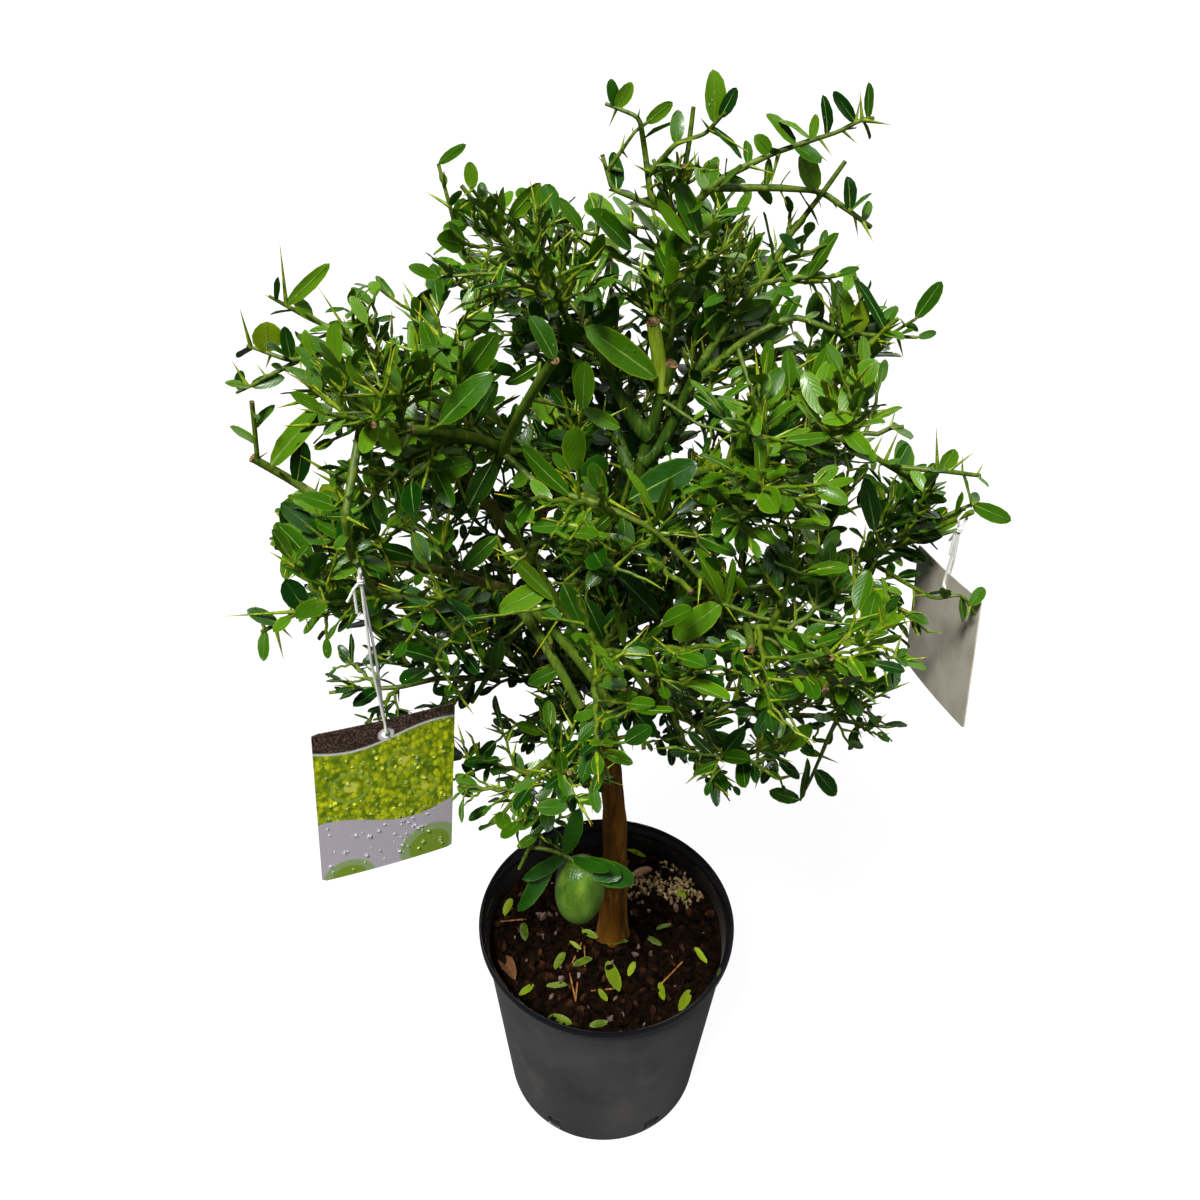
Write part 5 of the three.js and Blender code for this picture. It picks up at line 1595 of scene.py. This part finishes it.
def drop_rings(middles, ups, radii, seed):
    """Low beads: four rings that close in from a flat foot, a third as high as they are wide."""
    rng = np.random.default_rng(seed)
    rise = np.array((-0.05, 0.3, 0.62, 0.7))[:, None] * radii[:, None, None]
    wide = radii[:, None] * np.array((1.0, 0.92, 0.55, 0.12)) * rng.uniform(0.85, 1.15, (len(radii), 1))
    return middles[:, None] + ups[:, None] * rise, wide


def drop_material():
    """Clear water."""
    material, tree, surface = new_material("water", 0.03, 0.5)
    surface.inputs["Base Color"].default_value = (0.96, 0.98, 0.97, 1)
    surface.inputs["Transmission Weight"].default_value = 1.0
    surface.inputs["IOR"].default_value = 1.33
    return material


WATER = drop_material()
drops = []
drop_rng = np.random.default_rng(81)
for frames in leaf_sets.values():
    wet = np.flatnonzero(drop_rng.random(len(frames["length"])) < DROP_SHARE)
    for _ in range(2):
        s = drop_rng.uniform(0.25, 0.85, len(wet))
        a = drop_rng.uniform(-0.6, 0.6, len(wet))
        out = frames["width"][wet] * half_outline(s) * a
        rise = frames["fold"][wet] * np.abs(out) - frames["arch"][wet] * s ** 2
        side = np.cross(frames["up"][wet], frames["along"][wet])
        middles = (frames["root"][wet] + frames["along"][wet] * (frames["length"][wet] * s)[:, None]
                   + side * out[:, None] + frames["up"][wet] * rise[:, None])
        drops.append((middles, frames["up"][wet], drop_rng.uniform(0.25, 0.75, len(wet)) * MM))
tube_piece("leaf_drops", *drop_rings(*map(np.concatenate, zip(*drops)), 82), 6, WATER, "leaves")

# Hang tags
# Two coated cards with a punched eye, each hung from a twig by thin white twine. The fronts
# carry a plain made-up pattern in leaf colours, and the backs are bare pale card.
TAG_THICKNESS = 0.8 * MM
TAG_CORNER = 1.6 * MM
TAG_EYE_RADIUS = 2.6 * MM
TAG_EYE_DROP = 10 * MM
TAG_CURL = 1.2 * MM
CARD_COLUMNS = 120


def card_outline(width, height):
    """A rectangle with round corners: a point every few millimetres, counted round from the right."""
    turns = np.linspace(0, 2 * math.pi, CARD_COLUMNS, endpoint=False) + 0.01
    middle = np.stack([np.sign(np.cos(turns)) * (width / 2 - TAG_CORNER),
                       np.sign(np.sin(turns)) * (height / 2 - TAG_CORNER)], -1)
    return middle + TAG_CORNER * np.stack([np.cos(turns), np.sin(turns)], -1)


def card_grid(width, height):
    """Rows from the eye's circle out to the round-cornered edge on the front, along straight
    lines, and back in on the back: a closed ring."""
    dense = card_outline(width, height)
    closed = np.concatenate([dense, dense[:1]])
    gone = np.concatenate([[0], np.linalg.norm(np.diff(closed, axis=0), axis=1).cumsum()])
    even = np.linspace(0, gone[-1], CARD_COLUMNS, endpoint=False)
    outline = np.stack([np.interp(even, gone, closed[:, side]) for side in (0, 1)], -1)
    eye = np.array((0, height / 2 - TAG_EYE_DROP))
    hole = eye + TAG_EYE_RADIUS * unit(outline - eye)
    shares = np.concatenate([np.linspace(0, 1, 9), np.linspace(1, 0, 9)])[:, None, None]
    flat = hole + (outline - hole) * shares
    face = np.repeat((1.0, -1.0), 9)[:, None]
    return flat, face


def card_curl(across, width):
    """How far the card bends back at a distance across it: the square of the share, up to 1."""
    return TAG_CURL * ((across / width) ** 2 * 4 - 0.4)


def card_piece(name, tag, printed, slot):
    """A thin card with a slight curl, its front towards its own -Y, or +Y where printed is -1."""
    width, height = tag["width"] * MM, tag["height"] * MM
    flat, face = card_grid(width, height)
    right, away, up = tag_axes(tag)
    depth = -face * (TAG_THICKNESS / 2) + card_curl(flat[..., 0], width)
    places = (np.array(tag["place"]) * MM + flat[..., :1] * right + flat[..., 1:] * up
              + depth[..., None] * away)
    rows, columns = flat.shape[:2]
    quads = ring_faces(rows, columns)
    closing = np.stack([np.arange(columns), np.roll(np.arange(columns), -1)], -1)
    closing = np.concatenate([closing + (rows - 1) * columns, closing[:, ::-1]], 1)
    uv = np.stack([flat[..., 0] / width + 0.5, flat[..., 1] / height + 0.5], -1).reshape(-1, 2)
    piece = make_piece(name, places.reshape(-1, 3), [quads, closing], CARD_FRONT, slot, uv=uv, sharp=40)
    piece.data.materials.append(CARD_BACK)
    is_front = np.concatenate([np.repeat(np.arange(rows - 1) < 9, columns), np.ones(columns, bool)])
    is_back = is_front if printed < 0 else ~is_front
    piece.data.polygons.foreach_set("material_index", is_back.astype(np.int32))
    return piece


def card_front_material():
    """A made-up pattern: a lime field with rounded leaf shapes, a brown corner, a lilac-grey
    wave across it and sage discs below, all worked out from the card's own coordinates."""
    material, tree, surface = new_material("card_front", 0.3, 0.5, 0.25, 0.2)
    uv = add_node(tree, "UVMap", {}, uv_map="UVMap").outputs["UV"]
    parts = add_node(tree, "SeparateXYZ", {"Vector": uv}).outputs

    def disc(x, y, radius, soft=0.012, flat=1.45):
        """1 inside a disc on the card, 0 outside."""
        scaled = add_node(tree, "VectorMath", {0: uv, 1: (1, flat, 1)}, operation="MULTIPLY").outputs[0]
        far = add_node(tree, "VectorMath", {0: scaled, 1: (x, y * flat, 0)}, operation="DISTANCE").outputs
        return ramp(tree, far["Value"], radius, radius - soft)

    def wave(height, swing, phase, soft=0.01):
        """1 above a sine line across the card, 0 below it."""
        sine = reckon(tree, "SINE", reckon(tree, "MULTIPLY_ADD", parts["X"], 5.2, phase))
        line = reckon(tree, "MULTIPLY_ADD", sine, swing, height)
        return ramp(tree, reckon(tree, "SUBTRACT", parts["Y"], line), 0, soft)

    cells = add_node(tree, "TexVoronoi", {"Vector": uv, "Scale": 30.0}).outputs
    leafy = ramp(tree, cells["Distance"], 0.45, 0.85)
    tones = add_node(tree, "SeparateXYZ", {"Vector": cells["Color"]}).outputs["X"]
    lime = blend(tree, tones, (0.3, 0.42, 0.002, 1), (0.85, 0.92, 0.01, 1))
    lime = blend(tree, leafy, lime, (0.1, 0.2, 0.001, 1))
    lime = blend(tree, mottle(tree, 210, 0.45, 0.7, detail=4), lime, (0.14, 0.24, 0.001, 1))
    bark = blend(tree, mottle(tree, 900, 0.5, 0.6, detail=1), (0.03, 0.016, 0.009, 1), (0.16, 0.1, 0.07, 1))
    colour = blend(tree, wave(0.36, 0.05, 1.2), (0.62, 0.57, 0.62, 1), lime)
    colour = blend(tree, wave(0.33, 0.05, 1.2), (0.62, 0.57, 0.62, 1), colour)
    colour = blend(tree, wave(0.88, 0.04, 3.4), colour, (0.85, 0.87, 0.8, 1))
    colour = blend(tree, wave(0.892, 0.04, 3.4), colour, bark)
    for x, y, radius in ((0.24, 0.62, 0.15), (0.62, 0.72, 0.12), (0.78, 0.5, 0.1)):
        colour = blend(tree, disc(x, y, radius), colour, (0.34, 0.5, 0.05, 1))
        colour = blend(tree, disc(x, y, radius * 0.86), colour, lime)
        colour = blend(tree, disc(x, y, radius * 0.36), colour, (0.75, 0.8, 0.1, 1))
    for x, y, radius in ((0.82, 0.06, 0.24), (0.2, -0.02, 0.2)):
        colour = blend(tree, disc(x, y, radius), colour, (0.36, 0.5, 0.2, 1))
        colour = blend(tree, disc(x, y, radius * 0.7), colour, (0.26, 0.4, 0.03, 1))
    colour = blend(tree, disc(0.5, 0.913, 0.062), colour, (0.85, 0.84, 0.8, 1))
    finish_with(tree, surface, colour=colour)
    return material


CARD_FRONT = card_front_material()
CARD_BACK = two_tone("card_back", (0.68, 0.63, 0.51, 1), (0.52, 0.46, 0.36, 1), (60, 0.4, 0.75),
                     (300, 0.1 * MM), 0.35, 0.5, 0.2, 0.25)
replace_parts(card_piece("card_left", TAGS["left"], 1, "tag_printed"), "tag_left")
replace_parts(card_piece("card_right", TAGS["right"], -1, "tag_back"), "tag_right")

# Twine
# Thin white cotton twine, doubled through each card's eye, tied over a stub twig with its loose
# ends left hanging.
TWINE_RADIUS = 0.75 * MM
TWINE = two_tone("white_twine", (0.92, 0.9, 0.82, 1), (1.0, 0.99, 0.95, 1), (900, 0.4, 0.6),
                 (1400, 0.04 * MM, (1, 1, 0.5)), 0.9, 0.2)


def stub_twig(tag):
    """The source's stub twig over the twine: its foot on the carrying spray's stem, and its end."""
    top = np.array(tag["hangs_from"]) * MM
    plan = next(plan for plan in plans if plan["name"] == tag["carrier"])
    nearest = nearest_of(plan["stem"], top * (0.78, 0.78, 1))
    way = unit(top - nearest)
    hook = top + UP * ((1.4 + 0.3 + 0.8 * abs(way[2])) / math.hypot(way[0], way[1]) + 0.3) * MM
    return nearest, hook, hook + unit(hook - nearest) * 6 * MM


def twine_piece(name, side, slack):
    """Two strands from the eye to the knot, a loop over the stub twig, the knot and two loose ends."""
    tag = TAGS[side]
    right, away, up = tag_axes(tag)
    eye = (np.array(tag["place"]) + up * (tag["height"] / 2 - TAG_EYE_DROP / MM)) * MM
    hook = stub_twig(tag)[1]
    knot = hook - UP * 9 * MM
    strands = []
    for swing in (-1, 1):
        bow = right * swing * 1.6 * MM + away * swing * 0.8 * MM
        strands.append([eye + away * swing * 1.6 * MM, eye + up * 5 * MM + away * swing * 1.1 * MM,
                        eye * 0.5 + knot * 0.5 + bow * slack, knot])
        strands.append([knot, hook + away * swing * 2.6 * MM - UP * 2 * MM, hook + UP * 2.4 * MM])
        strands.append([knot, knot - right * 4 * MM - UP * 4 * MM,
                        knot - right * (6 + 2 * swing) * MM - UP * (15 - 4 * swing) * MM])
    turns = np.linspace(0, 5 * math.pi, 24)
    wrap = knot + np.stack([np.cos(turns) * 1.3 * MM, np.sin(turns) * 1.3 * MM,
                            np.linspace(-1.6, 1.6, 24) * MM], -1)
    strands.append(list(wrap))
    paths = np.stack([eased_path(points, 40) for points in strands])
    piece = tube_piece(name, paths, np.full(paths.shape[:2], TWINE_RADIUS), 7, TWINE, "twine")
    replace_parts(piece, f"tag_string_{side}")


twine_piece("twine_left", "left", 1.0)
twine_piece("twine_right", "right", 0.6)
paths = np.stack([np.linspace(*stub_twig(tag)[::2], 10) for tag in TAGS.values()])
tube_piece("hanging_twigs", paths, np.full(paths.shape[:2], 1.6 * MM), 9, TWIG_GREEN, "leaves", 70)

CARD_DROP_COUNT = 150
card_rng = np.random.default_rng(91)
right, away, up = tag_axes(TAGS["left"])
spots = card_rng.uniform((-36, -54), (36, 52), (CARD_DROP_COUNT, 2)) * MM
card_drops = (np.array(TAGS["left"]["place"]) * MM + spots[:, :1] * right + spots[:, 1:] * up
              + (card_curl(spots[:, :1], TAGS["left"]["width"] * MM) - TAG_THICKNESS / 2) * away)
drop_radii = card_rng.uniform(0.4, 1.5, CARD_DROP_COUNT) * MM
card_drops = drop_rings(card_drops, np.repeat(-away[None], CARD_DROP_COUNT, 0), drop_radii, 92)
tube_piece("card_drops", *card_drops, 6, WATER, "tag_printed")

# Setting
# A pale sweep, flat under the plant and turned up far away all round, that casts no light back,
# soft lights over and before the plant, and a camera that looks down on it from the front.
SWEEP_COLUMNS = 96

floor_mesh = bpy.data.meshes.new("floor")
t = np.linspace(0, math.pi / 2, 9)
profile = [(0.01, 0), (3, 0)] + list(zip(6 + 3 * np.sin(t), 3 - 3 * np.cos(t))) + [(9, 9)]
around = np.arange(SWEEP_COLUMNS) * 2 * math.pi / SWEEP_COLUMNS
rings = np.array([np.stack([far * np.cos(around), far * np.sin(around), high + 0 * around], -1)
                  for far, high in profile])
floor_faces = ring_faces(len(profile), SWEEP_COLUMNS).tolist() + [list(range(SWEEP_COLUMNS))]
floor_mesh.from_pydata(rings.reshape(-1, 3).tolist(), [], floor_faces)
floor_mesh.shade_smooth()
floor = bpy.data.objects.new("floor", floor_mesh)
bpy.context.scene.collection.objects.link(floor)
floor_material, _, floor_surface = new_material("pale_floor", 0.9, 0.1)
floor_surface.inputs["Base Color"].default_value = (0.14, 0.14, 0.14, 1)
floor_surface.inputs["Emission Color"].default_value = (1, 1, 1, 1)
floor_surface.inputs["Emission Strength"].default_value = 0.93
floor.visible_diffuse = False
floor.visible_glossy = False
floor.visible_shadow = False
floor_mesh.materials.append(floor_material)

world = bpy.data.worlds.new("studio")
world.use_nodes = True
world.node_tree.nodes["Background"].inputs["Color"].default_value = (0.96, 0.98, 1.0, 1)
world.node_tree.nodes["Background"].inputs["Strength"].default_value = 0.085
bpy.context.scene.world = world


def soft_light(name, place, wide, strength):
    """A far, wide light that shines from its place towards the middle of the plant."""
    light = bpy.data.lights.new(name, "SUN")
    light.angle = math.radians(wide)
    light.energy = strength
    lamp = bpy.data.objects.new(name, light)
    bpy.context.scene.collection.objects.link(lamp)
    lamp.location = place
    lamp.rotation_euler = (math.atan2(math.hypot(place[0], place[1]), place[2]), 0,
                           math.atan2(place[1], place[0]) + math.pi / 2)
    return lamp


soft_light("key", (-0.9, -1.5, 3.0), 12, 4.3)
soft_light("fill", (1.6, -1.0, 2.0), 50, 0.7)
soft_light("behind", (0.6, 2.0, 0.9), 60, 0.8)

camera = bpy.data.objects.new("camera", bpy.data.cameras.new("camera"))
bpy.context.scene.collection.objects.link(camera)
camera.data.lens = CAMERA_LENS
camera.data.sensor_width = SENSOR_WIDTH
camera.location = CAMERA_PLACE
camera.rotation_euler = (math.pi / 2 - CAMERA_PITCH, 0, 0)
camera.rotation_euler.rotate_axis("Z", CAMERA_ROLL)
bpy.context.scene.camera = camera
bpy.context.scene.view_settings.view_transform = "Standard"
